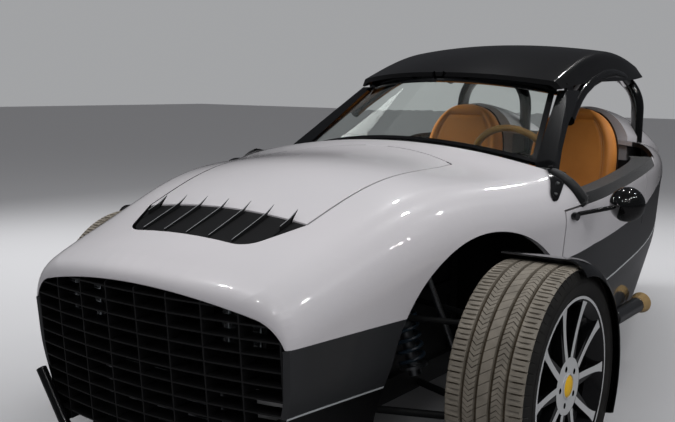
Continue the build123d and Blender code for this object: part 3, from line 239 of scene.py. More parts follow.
finish = {
    "paleEnamel": paintedEnamel("PaleGreyEnamel", "#c4c1c4", "#bfbdc0", 0.3, 1.0),
    "charcoalEnamel": paintedEnamel("CharcoalSatinEnamel", "#2b2c2e", "#303133", 0.42, 0.35),
    "glossBlack": paintedEnamel("GlossBlackEnamel", "#08090a", "#0b0b0c", 0.16, 1.0),
    "roofBlack": paintedEnamel("SemiGlossRoofEnamel", "#0b0b0c", "#101011", 0.3, 0.7),
    "grilleBlack": powderCoat("GrilleSatinBlack", "#141415", "#1b1b1c", 0.36, 2.0, 0.00003),
    "ventBlack": powderCoat("VentTrayBlack", "#0b0b0c", "#151517", 0.5, 2.5),
    # the fins' top edges are a painted highlight in pale paint
    "paintedFinHighlight": paintedEnamel("FinEdgePaintedHighlight", "#8b8d8f", "#797b7e", 0.4, 0.2),
    "castDark": castMetal("PaintedCastAlloy", "#1d1e20", "#101112", 0.5),
    "shellBlack": powderCoat("SeatShellBlack", "#191a1c", "#222326", 0.38),
    "lampCover": clearGlass("SmokedPolycarbonateCover", "#c9cdd0", 0.0, 1.3),
    "mirrorGlass": brushedMetal("SilveredMirror", "#e6e8ea", "#dfe1e3", 0.03, (1, 1, 1), 12.0, 0.000005),
    "springBlue": powderCoat("SpringPowderCoat", "#22303c", "#1a2630", 0.35, 1.6),
    "satinBlack": powderCoat("SatinBlackPowderCoat", "#0c0c0d", "#141415", 0.45),
    "frameBlack": powderCoat("FrameBlackPowderCoat", "#111213", "#1a1b1c", 0.5, 1.6),
    "lampClear": clearGlass("ClearPolycarbonateLens", "#f4f7f8", 0.02, 1.58),
    "redLens": clearGlass("RedAcrylicLens", "#b3101c", 0.04, 1.49),
    "screenTint": clearGlass("TintedLaminatedGlass", "#edf4f0", 0.0, 1.14),
    "chrome": brushedMetal("VapourChromeReflector", "#f2f3f4", "#e4e6e8", 0.05, (1, 1, 1), 8.0, 0.00001, 0.6),
    "aluminium": brushedMetal("BrushedAluminium", "#c9ccce", "#aeb1b4", 0.32, (0.1, 1, 1)),
    "machined": brushedMetal("DiamondCutAluminium", "#e2e3e4", "#d0d2d4", 0.2, (1, 1, 1), 1.4, 0.00002, 0.45),
    "wheelBlack": paintedEnamel("WheelBlackEnamel", "#0a0a0b", "#0e0e0f", 0.2, 0.9),
    "steel": brushedMetal("BrightSteel", "#c4c5c6", "#9fa0a2", 0.28, (1, 1, 0.2)),
    "exhaust": brushedMetal("HeatTintedStainless", "#d9bf8c", "#b58d58", 0.16, (1, 0.15, 1), 3.0,
                            0.00005, 0.6),
    "tanLeather": grainedLeather("TanHide", "#e09243", "#cb7f35", 0.42),
    "blackLeather": grainedLeather("BlackHide", "#1b1c1e", "#121314", 0.38),
    "rimLeather": grainedLeather("HoneyHideRim", "#b98846", "#9a6a30", 0.3, 1.6, 0.0002),
    "carpet": powderCoat("BlackCarpet", "#151516", "#242425", 0.95, 3.0, 0.001),
    # the tread is far paler than the sidewall: painted light from above on the tread
    "tyre": mouldedRubber("TreadRubberPaintedLight", "#6a645a", "#7d766b", 0.5),
    "sidewall": mouldedRubber("SidewallRubber", "#1c1b1a", "#242321", 0.45),
    # the dark brown of the groove floors is painted shade in the grooves
    "paintedGrooveShade": mouldedRubber("GrooveRubberPaintedShade", "#33291a", "#3f3423", 0.85),
    "radiatorCore": finnedMetal("PressedRadiatorCore", "#2a2c2e", "#08090a", 5.0),
    "seal": mouldedRubber("RubberSeal", "#0c0c0c", "#141414", 0.6),
    "capYellow": paintedEnamel("YellowCapEnamel", "#e8b80a", "#e2b008", 0.3, 0.8),
    "silverLine": paintedEnamel("SilverLineEnamel", "#b8bcbe", "#aeb2b4", 0.35, 0.5),
    "thread": mouldedRubber("LinenThread", "#d9a871", "#c48f56", 0.8, 0.8, 0.0003),
}
for wheel, centre in wheelCentre.items():
    finish[f"disc_{wheel}"] = turnedMetal(f"TurnedIronDisc.{wheel}", "#a4a6a8", "#7c7e81", 0.34, centre)
print("finishes made:", len(finish))


# Pieces from meshes

def addObject(name, data):
    made = bpy.data.objects.new(name, data)
    scene.collection.objects.link(made)
    return made


def shadeByAngle(bm, sharp):
    for face in bm.faces:
        face.smooth = True
    for edge in bm.edges:
        edge.smooth = len(edge.link_faces) == 2 and edge.calc_face_angle(0.0) < radians(sharp)


def keepBmesh(name, bm, body, materials, replaced=(), sharp=40.0):
    shadeByAngle(bm, sharp)
    mesh = bpy.data.meshes.new(name)
    bm.to_mesh(mesh)
    bm.free()
    piece = addObject(name, mesh)
    for material in materials:
        mesh.materials.append(finish[material])
    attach(piece, body)
    if replaced:
        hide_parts(*replaced)
    return piece


def nodeBmesh(node):
    bm = bmesh.new()
    bm.from_mesh(frame["nodes"][node].data)
    bmesh.ops.remove_doubles(bm, verts=bm.verts, dist=0.00002)
    bmesh.ops.dissolve_degenerate(bm, edges=bm.edges, dist=0.00001)
    return bm


edgeSettings = {"bevelSteps": 2, "bevelAngle": 40.0, "smoothAngle": 35.0}


def addBevel(piece, width):
    bevel = piece.modifiers.new("Edges", "BEVEL")
    bevel.width = width
    bevel.segments = edgeSettings["bevelSteps"]
    bevel.limit_method = "ANGLE"
    bevel.angle_limit = radians(edgeSettings["bevelAngle"])
    bevel.harden_normals = True
    bevel.use_clamp_overlap = True


def paintFaces(bm, rule):
    for face in bm.faces:
        face.material_index = rule(face.calc_center_median(), face.normal)


def dressNode(node, materials, bevel=0.0, rule=None, shape=None):
    # the CAD node itself, worn as a skin: shaped, painted by face and rounded at its edges
    bm = nodeBmesh(node)
    if shape:
        shape(bm)
    bm.normal_update()
    if rule:
        paintFaces(bm, rule)
    piece = keepBmesh(f"{node}_skin", bm, bodyOf[node], materials, (node,),
                      edgeSettings["smoothAngle"])
    if bevel:
        addBevel(piece, bevel)


def outlineTree(*nodes):
    whole = bmesh.new()
    for node in nodes:
        whole.from_mesh(frame["nodes"][node].data)
    tree = BVHTree.FromBMesh(whole)
    whole.free()
    return tree


def cutPlane(bm, place, facing, parts=None, clear=False):
    # a straight cut through the whole mesh, or through some of its parts
    if parts is None:
        parts = bm.verts[:] + bm.edges[:] + bm.faces[:]
    bmesh.ops.bisect_plane(bm, geom=parts, dist=0.00001, plane_co=place, plane_no=facing, clear_inner=clear)


def addBox(bm, centre, size):
    bmesh.ops.create_cube(bm, size=1.0, matrix=Matrix.Translation(centre) @ Matrix.Diagonal((*size, 1)))


def roundLongEdges(bm, length, radius):
    # rounds the edges that run front to back over more than a length
    edges = [e for e in bm.edges if abs(e.verts[0].co.y - e.verts[1].co.y) > length]
    bmesh.ops.bevel(bm, geom=edges, offset=radius, segments=5, profile=0.5, affect="EDGES", material=-1)


def addDisc(bm, centre, axis, radius, depth, segments=24, taper=1.0):
    # a short cylinder whose base stands on centre and which rises along axis
    turn = Vector((0, 0, 1)).rotation_difference(Vector(axis)).to_matrix().to_4x4()
    place = Matrix.Translation(Vector(centre) + Vector(axis).normalized() * depth / 2) @ turn
    bmesh.ops.create_cone(bm, cap_ends=True, segments=segments, radius1=radius, radius2=radius * taper,
                          depth=depth, matrix=place)


def spinProfile(bm, profile, centre, axis, segments=48):
    # profile is (radius, height along axis); it is turned a full circle about the axis through centre
    turn = Vector((0, 0, 1)).rotation_difference(Vector(axis)).to_matrix()
    verts = [bm.verts.new(Vector(centre) + turn @ Vector((r, 0, h))) for r, h in profile]
    edges = [bm.edges.new(pair) for pair in zip(verts, verts[1:])]
    bmesh.ops.spin(bm, geom=verts + edges, cent=centre, axis=axis, angle=2 * pi, steps=segments,
                   use_merge=True)
    bmesh.ops.remove_doubles(bm, verts=bm.verts, dist=0.00002)


# Body panels: three paints outside, parted by two lines, and black inside

def insideRule(centre, normal):
    # a face that looks towards the body's long axis is part of the inside
    outward = Vector((centre.x, 0, centre.z - bodySettings["axisHeight"]))
    return normal.dot(outward.normalized()) < bodySettings["inward"]


bodySettings = {
    "axisHeight": 0.45, "inward": -0.3, "edgeRound": 0.0007,
    "noseY": frontAxleY - 0.745, "noseZ": 0.600, "noseLean": 5.2, "noseRadius": 2.4, "noseTrim": 0.004,
}
lipSettings = {
    "cutDepth": 0.082, "mouthHalf": 0.4470, "mouthTop": 0.6075, "mouthCrown": 0.060, "mouthCorner": 0.106,
    "eyeZ": 0.36, "rows": 12, "turnRadius": 0.0045, "turnRows": 4, "returnDepth": 0.040, "wall": 0.017,
    "reach": 0.60, "steep": 0.50, "halvings": 40,
    # a rim point lies this close to the cut and to the outer skin; closer than the gap, two share a column
    "cutBand": 0.0005, "skinBand": 0.004, "gap": 0.0008,
    # rays meet the skin a little behind the cut, and the slope is read further back
    "rayBack": 0.0004, "slopeBack": 0.02,
}


def noseYAt(x, z, depth):
    # the y at which a point of this x and z lies at a given depth behind the nose surface
    s = bodySettings
    lean = radians(s["noseLean"])
    along = depth + s["noseTrim"] + s["noseRadius"] - (s["noseRadius"] ** 2 - x * x) ** 0.5
    return s["noseY"] + (along - (z - s["noseZ"]) * sin(lean)) / cos(lean)


def mouthPoint(direction):
    # where a ray in the xz plane from the mouth's eye meets the opening's rounded outline
    s = lipSettings
    low, high = 0.0, 1.0
    for step in range(s["halvings"]):
        middle = (low + high) / 2
        x, z = direction.x * middle, s["eyeZ"] + direction.z * middle
        if insideMouth(abs(x), z):
            low = middle
        else:
            high = middle
    return Vector((direction.x * low, 0, s["eyeZ"] + direction.z * low))


def insideMouth(x, z):
    # half width mouthHalf, a crowned top edge and a rounded corner between them
    s = lipSettings
    if x > s["mouthHalf"]:
        return False
    corner = s["mouthCorner"]
    crownRadius = (s["mouthHalf"] ** 2 + s["mouthCrown"] ** 2) / (2 * s["mouthCrown"])
    crownZ = s["mouthTop"] - crownRadius
    centreX = s["mouthHalf"] - corner
    centreZ = crownZ + ((crownRadius - corner) ** 2 - centreX ** 2) ** 0.5
    tangentX = centreX * crownRadius / (crownRadius - corner)
    if x <= tangentX:
        return hypot(x, z - crownZ) < crownRadius
    if z <= centreZ:
        return True
    return hypot(x - centreX, z - centreZ) < corner


def rollLip(bm):
    # the nose is cut off behind its front edge and made anew: it rolls over into the mouth
    # and turns back inside
    s = lipSettings
    skin = BVHTree.FromBMesh(bm)
    lean = radians(bodySettings["noseLean"])
    cutNormal = Vector((0, cos(lean), sin(lean)))
    cutPoint = Vector((0, bodySettings["noseY"], bodySettings["noseZ"])) + cutNormal * s["cutDepth"]
    cutPlane(bm, cutPoint, cutNormal, clear=True)
    rim = [v for v in bm.verts if v.is_boundary and abs((v.co - cutPoint).dot(cutNormal)) < s["cutBand"]]
    outer = []
    for vert in rim:
        away = Vector((vert.co.x, 0, vert.co.z - s["eyeZ"]))
        direction = away.normalized()
        start = Vector((0, vert.co.y + s["rayBack"], s["eyeZ"])) + direction * outside
        hit = skin.ray_cast(start, -direction)[0]
        if hit is not None and hypot(hit.x - vert.co.x, hit.z - vert.co.z) < s["skinBand"]:
            outer.append((atan2(direction.x, direction.z), vert, direction))
    outer.sort(key=lambda row: row[0])
    columns = []
    for turn, vert, direction in outer:
        if columns and (vert.co - columns[-1][0].co).length < s["gap"]:
            continue
        columns.append(lipColumn(bm, skin, vert, direction))
    for first, second in zip(columns, columns[1:]):
        for a, b, c, d in zip(first, first[1:], second[1:], second):
            bm.faces.new((a, b, c, d))
    for column in (columns[0], columns[-1]):
        bm.faces.new(column)
    bmesh.ops.triangulate(bm, faces=[f for f in bm.faces if len(f.verts) > 4])
    bmesh.ops.recalc_face_normals(bm, faces=bm.faces)
    print("lip columns:", len(columns), "rim", len(rim))


def lipColumn(bm, skin, vert, direction):
    # one column of points: it leaves the skin on its slope and curls over the mouth's edge
    s = lipSettings
    base = vert.co.copy()
    behind = Vector((0, base.y + s["slopeBack"], s["eyeZ"])) + direction * outside
    hit = skin.ray_cast(behind, -direction)[0]
    slopeRise = hit - base if hit is not None else Vector((0, s["slopeBack"], 0))
    outward = slopeRise.dot(direction) / max(0.001, slopeRise.y)
    mouth = mouthPoint(direction)
    edgeY = noseYAt(mouth.x, mouth.z, 0.0)
    run = base.y - edgeY
    drop = hypot(base.x, base.z - s["eyeZ"]) - hypot(mouth.x, mouth.z - s["eyeZ"])
    turn = min(s["turnRadius"], drop * 0.4)
    control = [(0.0, 0.0), (run * s["reach"], run * s["reach"] * outward),
               (run, (drop - turn) * (1 - s["steep"])), (run, drop - turn)]
    if control[1][1] > drop * 0.8:
        control[1] = (run * s["reach"], drop * 0.5)
    profile = []
    for k in range(1, s["rows"] + 1):
        t = k / s["rows"]
        weights = ((1 - t) ** 3, 3 * t * (1 - t) ** 2, 3 * t * t * (1 - t), t ** 3)
        profile.append(tuple(sum(w * c[axis] for w, c in zip(weights, control)) for axis in (0, 1)))
    for k in range(1, s["turnRows"] + 1):
        angle = radians(90) * k / s["turnRows"]
        profile.append((run - turn * (1 - cos(angle)), drop - turn + turn * sin(angle)))
    profile.append((run - s["returnDepth"], drop))
    profile.append((0.0, s["wall"]))
    made = [vert]
    for ahead, inward in profile:
        made.append(bm.verts.new(base - Vector((0, ahead, 0)) - direction * inward))
    return made


paintLines = {
    # station and height: pale above the split, charcoal down to the stripe, gloss black below it
    "split": ((-0.90, 0.504), (-0.25, 0.505), (0.39, 0.587), (0.576, 0.611), (0.96, 0.632), (1.26, 0.662),
              (1.50, 0.700), (1.80, 0.728), (2.30, 0.705), (3.00, 0.540)),
    "stripe": ((-0.90, 0.336), (-0.25, 0.327), (0.39, 0.430), (0.733, 0.462), (1.00, 0.478), (1.51, 0.500),
               (2.15, 0.530), (3.00, 0.440)),
}


def lineHeight(line, y):
    # the height of a paint line at a place along the car
    station = y - frontAxleY
    for (s0, z0), (s1, z1) in zip(line, line[1:]):
        if station <= s1:
            return z0 + (z1 - z0) * (station - s0) / (s1 - s0)
    return line[-1][1]


def cutAlong(bm, line):
    # first across at each knot, then each stretch along its own plane
    for station, height in line[1:-1]:
        cutPlane(bm, (0, frontAxleY + station, 0), (0, 1, 0))
    for (s0, z0), (s1, z1) in zip(line, line[1:]):
        faces = [f for f in bm.faces if s0 < f.calc_center_median().y - frontAxleY < s1]
        edges = {e for f in faces for e in f.edges}
        verts = {v for f in faces for v in f.verts}
        cutPlane(bm, (0, frontAxleY + s0, z0), (0, z0 - z1, s1 - s0), list(verts) + list(edges) + faces)


def twoTone(bm):
    cutAlong(bm, paintLines["split"])
    cutAlong(bm, paintLines["stripe"])


def paintRule(centre, normal):
    # the number of the finish in paintedFinishes
    if insideRule(centre, normal):
        return 3
    if centre.z > lineHeight(paintLines["split"], centre.y):
        return 0
    return 1 if centre.z > lineHeight(paintLines["stripe"], centre.y) else 2


def noseAndPaint(bm):
    rollLip(bm)
    twoTone(bm)


paintedFinishes = ["paleEnamel", "charcoalEnamel", "glossBlack", "satinBlack"]
for node in ("front_cowl", "rear_deck", "bonnet_panel", "door_left", "door_right", "side_panels", "sills"):
    dressNode(node, paintedFinishes, bodySettings["edgeRound"], paintRule,
              noseAndPaint if node == "front_cowl" else twoTone)
print("body panels dressed")


# Nose: vent, grille, lamps, chin tube and core

ventSettings = {
    "finPitch": 0.080, "finCount": 7, "finHalf": 0.0035, "trayRaise": 0.006, "drop": 0.010, "thick": 0.0022,
    "front": -0.553, "rear": -0.405, "frontRise": 0.0005, "rearRise": 0.007, "tip": 0.032, "tipRise": 0.014,
    "root": 0.012, "steps": 14,
    # a fin stands only where the tray lies below this height, and a little inside the tray's ends
    "trayLimit": 0.85, "inside": 1.05, "heel": (0.002, 0.001),
}


def clearFins(bm):
    # the solid's fins go: their faces lie within half a fin of a fin's middle
    s = ventSettings
    fins = [f for f in bm.faces if all(
        abs(v.co.x - s["finPitch"] * round(v.co.x / s["finPitch"])) < s["finHalf"] for v in f.verts)]
    bmesh.ops.delete(bm, geom=fins, context="FACES")
    bmesh.ops.translate(bm, verts=bm.verts, vec=(0, 0, s["trayRaise"]))


def makeFins():
    s = ventSettings
    tray = outlineTree("bonnet_vent")
    bm = bmesh.new()
    down = Vector((0, 0, -1))
    for number in range(s["finCount"]):
        x = (number - (s["finCount"] - 1) / 2) * s["finPitch"]
        # the skin's height is read between two fins
        lean = 0.5 * s["finPitch"] * (-1 if x > 0.01 else 1)
        outline = []
        for k in range(s["steps"] + 1):
            share = k / s["steps"]
            station = s["front"] + (s["rear"] - s["front"]) * share
            hit = tray.ray_cast(Vector((x + lean, frontAxleY + station, outside)), down)[0]
            under = tray.ray_cast(Vector((x * s["inside"], frontAxleY + station, outside)), down)[0]
            if hit is None or hit.z > s["trayLimit"] or under is None:
                continue
            outline.append((frontAxleY + station, hit.z + s["drop"], share))
        if len(outline) < 3:
            continue
        top = [(y, z + s["frontRise"] + (s["rearRise"] - s["frontRise"]) * share) for y, z, share in outline]
        slope = (outline[-1][1] - outline[-2][1]) / (outline[-1][0] - outline[-2][0])
        lastY, lastZ = outline[-1][:2]
        top.append((lastY + s["tip"], lastZ + slope * s["tip"] + s["tipRise"]))
        low = [(lastY + s["heel"][0], lastZ + s["heel"][1])]
        low += [(y, z - s["root"]) for y, z, share in reversed(outline)]
        ring = top + low
        left = [bm.verts.new((x - s["thick"] / 2, y, z)) for y, z in ring]
        right = [bm.verts.new((x + s["thick"] / 2, y, z)) for y, z in ring]
        bm.faces.new(left)
        bm.faces.new(right)
        for k in range(len(ring)):
            after = (k + 1) % len(ring)
            face = bm.faces.new((left[k], left[after], right[after], right[k]))
            # faces along each fin's top edge take the painted highlight, the rest are tray black
            face.material_index = 1 if k < len(top) - 1 else 0
    bmesh.ops.triangulate(bm, faces=[f for f in bm.faces if len(f.verts) > 4])
    bmesh.ops.recalc_face_normals(bm, faces=bm.faces)
    keepBmesh("vent_fins", bm, "bonnet", ["ventBlack", "paintedFinHighlight"], (), 20.0)


dressNode("bonnet_vent", ["ventBlack"], 0.0, None, clearFins)
makeFins()
dressNode("grille", ["grilleBlack"], 0.0006)
dressNode("chin_bar", ["glossBlack"])
dressNode("radiator", ["radiatorCore"], 0.001)

coolerSettings = {
    "rows": 9, "low": 0.205, "high": 0.365, "half": 0.200, "height": 0.0045, "depth": 0.012,
    "tankRadius": 0.016, "tankBack": 0.004, "tankOver": 0.006,
}


def makeCooler():
    # an intercooler's flat tubes and end tanks in front of the core, low down
    s = coolerSettings
    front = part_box("radiator")[0].y - s["depth"] / 2
    bm = bmesh.new()
    for row in range(s["rows"]):
        z = s["low"] + (s["high"] - s["low"]) * row / (s["rows"] - 1)
        addBox(bm, (0, front, z), (2 * s["half"], s["depth"], s["height"]))
    for sign in (-1, 1):
        foot = (sign * s["half"], front + s["tankBack"], s["low"] - s["tankOver"])
        addDisc(bm, foot, (0, 0, 1), s["tankRadius"], s["high"] - s["low"] + 2 * s["tankOver"], 20)
    keepBmesh("intercooler_tubes", bm, "root", ["aluminium"])


makeCooler()

lampSettings = {
    "centreX": 0.283, "centreZ": 0.527,
    "columns": 2, "rows": 3, "pitchX": 0.056, "pitchZ": 0.036, "bowlRadius": 0.0215, "bowlDepth": 0.024,
    "lensRadius": 0.0125, "caseWidth": 0.128, "caseHeight": 0.118, "caseDepth": 0.05, "coverThick": 0.003,
    # how far behind the lamps' face: the case's front, the bowls' mouths, the lenses, the cover's middle
    "faceIn": 0.002, "caseIn": 0.018, "bowlIn": 0.012, "lensIn": 0.022, "coverIn": 0.004,
    "caseRound": 0.016, "coverRound": 0.015, "coverGap": 0.004,
    "bracketIn": 0.045, "bracketUp": 0.075, "bracketSize": (0.03, 0.008, 0.075),
    "mouthSquare": 0.86, "mouthNarrow": 0.75,
}


def makeLamp(side, sign):
    # a case with a bracket, six faceted bowls, six lenses and a cover in front
    s = lampSettings
    centreX, centreZ = sign * s["centreX"], s["centreZ"]
    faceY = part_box("headlamps")[0].y + s["faceIn"]
    case = bmesh.new()
    addBox(case, (centreX, faceY + s["caseIn"] + s["caseDepth"] / 2, centreZ),
           (s["caseWidth"], s["caseDepth"], s["caseHeight"]))
    roundLongEdges(case, 0.01, s["caseRound"])
    addBox(case, (centreX, faceY + s["bracketIn"], centreZ + s["bracketUp"]), s["bracketSize"])
    chrome = bmesh.new()
    lens = bmesh.new()
    mouth, depth, dome = s["bowlRadius"], s["bowlDepth"], s["lensRadius"]
    bowlProfile = [(dome * 0.4, depth), (mouth * 0.62, depth * 0.72), (mouth * 0.86, depth * 0.36),
                   (mouth, 0.0), (mouth + 0.002, 0.0), (mouth + 0.002, 0.006)]
    domeProfile = [(0.0005, -0.010), (dome * 0.5, -0.0085), (dome * 0.87, -0.005), (dome, 0.0), (dome, 0.004),
                   (0.0005, 0.0045)]
    for column in range(s["columns"]):
        for row in range(s["rows"]):
            x = centreX + (column - (s["columns"] - 1) / 2) * s["pitchX"]
            z = centreZ + (row - (s["rows"] - 1) / 2) * s["pitchZ"]
            squareBowl(chrome, bowlProfile, (x, faceY + s["bowlIn"], z))
            spinProfile(lens, domeProfile, (x, faceY + s["lensIn"], z), (0, 1, 0), 20)
    cover = bmesh.new()
    addBox(cover, (centreX, faceY + s["coverIn"], centreZ),
           (s["caseWidth"] - s["coverGap"], s["coverThick"], s["caseHeight"] - s["coverGap"]))
    roundLongEdges(cover, 0.001, s["coverRound"])
    for bm in (chrome, lens):
        bmesh.ops.recalc_face_normals(bm, faces=bm.faces)
    keepBmesh(f"lamp_case_{side}", case, "root", ["satinBlack"], ("headlamps",))
    keepBmesh(f"lamp_bowls_{side}", chrome, "root", ["chrome"], ("headlamps",), 1.0)
    keepBmesh(f"lamp_lenses_{side}", lens, "root", ["lampClear"], ("headlamps",))
    keepBmesh(f"lamp_cover_{side}", cover, "root", ["lampCover"], ("headlamps",))


def squareBowl(bm, profile, centre):
    # a faceted reflector cell: a spun bowl drawn out to a square mouth
    s = lampSettings
    first = len(bm.verts)
    spinProfile(bm, profile, centre, (0, 1, 0), 16)
    bm.verts.ensure_lookup_table()
    for vert in bm.verts[first:]:
        dx, dz = vert.co.x - centre[0], vert.co.z - centre[2]
        reach = hypot(dx, dz)
        if reach > 1e-6:
            stretch = reach / max(abs(dx), abs(dz)) * s["mouthSquare"]
            vert.co.x = centre[0] + dx * stretch * s["pitchX"] / s["pitchZ"] * s["mouthNarrow"]
            vert.co.z = centre[2] + dz * stretch * s["mouthSquare"]


for side, sign in (("left", 1), ("right", -1)):
    makeLamp(side, sign)
print("nose dressed")


# Screen, roof, hoops, rails and mirrors

hoopSettings = {"grow": 0.004, "above": 0.60}


def thickenTubes(bm):
    bm.normal_update()
    moves = [(v, v.normal * hoopSettings["grow"]) for v in bm.verts if v.co.z > hoopSettings["above"]]
    for vert, move in moves:
        vert.co += move


def roofRule(centre, normal):
    # faces that look down are satin
    return 1 if normal.z < roofSettings["underside"] else 0


roofSettings = {"underside": -0.2, "edgeRound": 0.003}
fritWidth = 0.014


def cutFrit(bm):
    # the pane's black side bands: a cut along each slanted side edge
    low = max((v.co for v in bm.verts), key=lambda co: co.x)
    high = max((v.co for v in bm.verts), key=lambda co: co.z + co.x / 2)
    for sign in (1, -1):
        side = Vector((sign * (high.x - low.x), 0, high.z - low.z)).normalized()
        cutPlane(bm, (sign * (low.x - fritWidth), 0, low.z), (side.z, 0, -side.x))
    bm.normal_update()
    edge = Vector((high.x - low.x, 0, high.z - low.z)).normalized()
    for face in bm.faces:
        centre = face.calc_center_median()
        inner = (abs(centre.x) - low.x + fritWidth) * edge.z - (centre.z - low.z) * edge.x
        face.material_index = 1 if inner > 0 else 0


dressNode("windscreen_glass", ["screenTint", "glossBlack"], 0.0, None, cutFrit)

pillarSettings = {
    # the pillar's front and rear faces at its foot and at its head: height, front station, rear station
    "foot": (0.813, 0.520, 0.564), "head": (1.092, 0.937, 1.047), "cuts": (0.86, 0.90, 0.94, 0.98, 1.03),
    "top": 1.025, "inside": 0.37, "slim": 0.45,
}


def slimPillars(bm):
    # the pillars' rear faces move forward, less towards the head
    s = pillarSettings
    for height in s["cuts"]:
        cutPlane(bm, (0, 0, height), (0, 0, 1))
    for vert in bm.verts:
        share = (vert.co.z - s["foot"][0]) / (s["head"][0] - s["foot"][0])
        if abs(vert.co.x) < s["inside"] or not 0.05 < share or vert.co.z > s["top"]:
            continue
        front = frontAxleY + s["foot"][1] + (s["head"][1] - s["foot"][1]) * share
        rear = frontAxleY + s["foot"][2] + (s["head"][2] - s["foot"][2]) * share
        back = (vert.co.y - front) / (rear - front)
        if -0.02 < back < 1.02:
            vert.co.y -= back * (rear - front) * s["slim"] * min(1.0, share / 0.3) * (1 - 0.5 * share)


dressNode("windscreen_frame", ["glossBlack"], 0.002, None, slimPillars)
dressNode("roof_cap", ["roofBlack", "satinBlack"], roofSettings["edgeRound"], roofRule)
dressNode("roll_hoops", ["glossBlack"], 0.0, None, thickenTubes)

headerSettings = {
    "reach": 0.40, "columns": 40, "band": 0.016, "thick": 0.012, "into": 0.006, "frameTop": 0.95,
    "clear": 0.002, "gap": 0.02,
}


def addTube(bm, path, radius, sides=16):
    # a round tube along a path that never runs straight across the car
    rings = []
    for k, point in enumerate(path):
        ahead = (path[min(k + 1, len(path) - 1)] - path[max(k - 1, 0)]).normalized()
        across = ahead.cross(Vector((1, 0, 0))).normalized()
        level = ahead.cross(across)
        rings.append([bm.verts.new(point + across * radius * cos(2 * pi * n / sides)
                                   + level * radius * sin(2 * pi * n / sides)) for n in range(sides)])
    for first, second in zip(rings, rings[1:]):
        for n in range(sides):
            bm.faces.new((first[n], first[(n + 1) % sides], second[(n + 1) % sides], second[n]))
    bm.faces.new(rings[0])
    bm.faces.new(rings[-1])


def makeHeader():
    # the strip between the screen frame's top edge and the underside of the roof
    s = headerSettings
    roof = outlineTree("roof_cap")
    frameVerts = frame["nodes"]["windscreen_frame"].data.vertices
    frameTop = [v.co for v in frameVerts if v.co.z > s["frameTop"]]
    bm = bmesh.new()
    rows = []
    for k in range(s["columns"] + 1):
        x = s["reach"] * (2 * k / s["columns"] - 1)
        near = [v for v in frameTop if abs(v.x - x) < s["band"]]
        if not near:
            continue
        top = max(near, key=lambda v: v.z)
        low = Vector((x, top.y, top.z - s["into"]))
        hit = roof.ray_cast(low + Vector((0, 0, s["clear"])), Vector((0, 0, 1)))[0]
        high = Vector((x, top.y, (hit.z if hit is not None else top.z + s["gap"]) + s["into"]))
        rows.append([bm.verts.new(low), bm.verts.new(high)])
    for first, second in zip(rows, rows[1:]):
        bm.faces.new((first[0], second[0], second[1], first[1]))
    bmesh.ops.solidify(bm, geom=bm.faces[:], thickness=s["thick"])
    bmesh.ops.recalc_face_normals(bm, faces=bm.faces)
    keepBmesh("screen_header", bm, "root", ["glossBlack"], (), 40.0)


archSideSettings = {
    # across, station and height along the underside of the roof's edge
    "path": ((0.462, 0.905, 0.985), (0.452, 0.965, 1.022), (0.440, 1.035, 1.058), (0.432, 1.110, 1.092),
             (0.428, 1.200, 1.124), (0.426, 1.330, 1.152), (0.424, 1.440, 1.160), (0.420, 1.560, 1.150),
             (0.414, 1.640, 1.128)),
    "radius": 0.021,
}


def makeSideArches():
    # a tube under each side edge of the roof
    s = archSideSettings
    for side, sign in (("left", 1), ("right", -1)):
        bm = bmesh.new()
        path = [Vector((sign * x, frontAxleY + station, height)) for x, station, height in s["path"]]
        addTube(bm, path, s["radius"])
        bmesh.ops.recalc_face_normals(bm, faces=bm.faces)
        keepBmesh(f"roof_arch_{side}", bm, "root", ["glossBlack"], (), 50.0)


makeHeader()
makeSideArches()
for node in ("cockpit_trim", "door_rail_left", "door_rail_right"):
    dressNode(node, ["blackLeather"], 0.008)


def mirrorRule(centre, normal):
    # the face that looks rearward is silvered
    return 1 if normal.y > 0.95 else 0


for side in ("left", "right"):
    dressNode(f"mirror_{side}", ["glossBlack", "mirrorGlass"], 0.0015, mirrorRule)
dressNode("tail_lamps", ["redLens"], 0.003)
print("screen and roof dressed")


# Running gear

for node, material, rounding in (
    ("chassis_frame", "frameBlack", 0.003), ("upper_arms", "frameBlack", 0.0),
    ("lower_arms", "frameBlack", 0.0), ("upright_left", "castDark", 0.002),
    ("upright_right", "castDark", 0.002), ("swingarm", "frameBlack", 0.004),
    ("rear_strut", "steel", 0.0), ("engine_block", "castDark", 0.004), ("floor_tub", "carpet", 0.002),
    ("firewall", "satinBlack", 0.001), ("dashboard", "blackLeather", 0.008),
    ("steering_column", "satinBlack", 0.001), ("pedals", "aluminium", 0.002),
    ("centre_console", "carpet", 0.005),
    ("cycle_wing_left", "glossBlack", 0.0012), ("cycle_wing_right", "glossBlack", 0.0012),
    ("brake_disc_left", "disc_left", 0.0008), ("brake_disc_right", "disc_right", 0.0008),
):
    dressNode(node, [material], rounding)


rockerPaint = {"plateOuterX": 0.412, "plateFootZ": 0.572}


def rockerRule(centre, normal):
    # the plates are black and the rods, outside and below them, are bare steel
    s = rockerPaint
    return 1 if abs(centre.x) > s["plateOuterX"] or centre.z < s["plateFootZ"] else 0


dressNode("rockers", ["frameBlack", "steel"], 0.001, rockerRule)


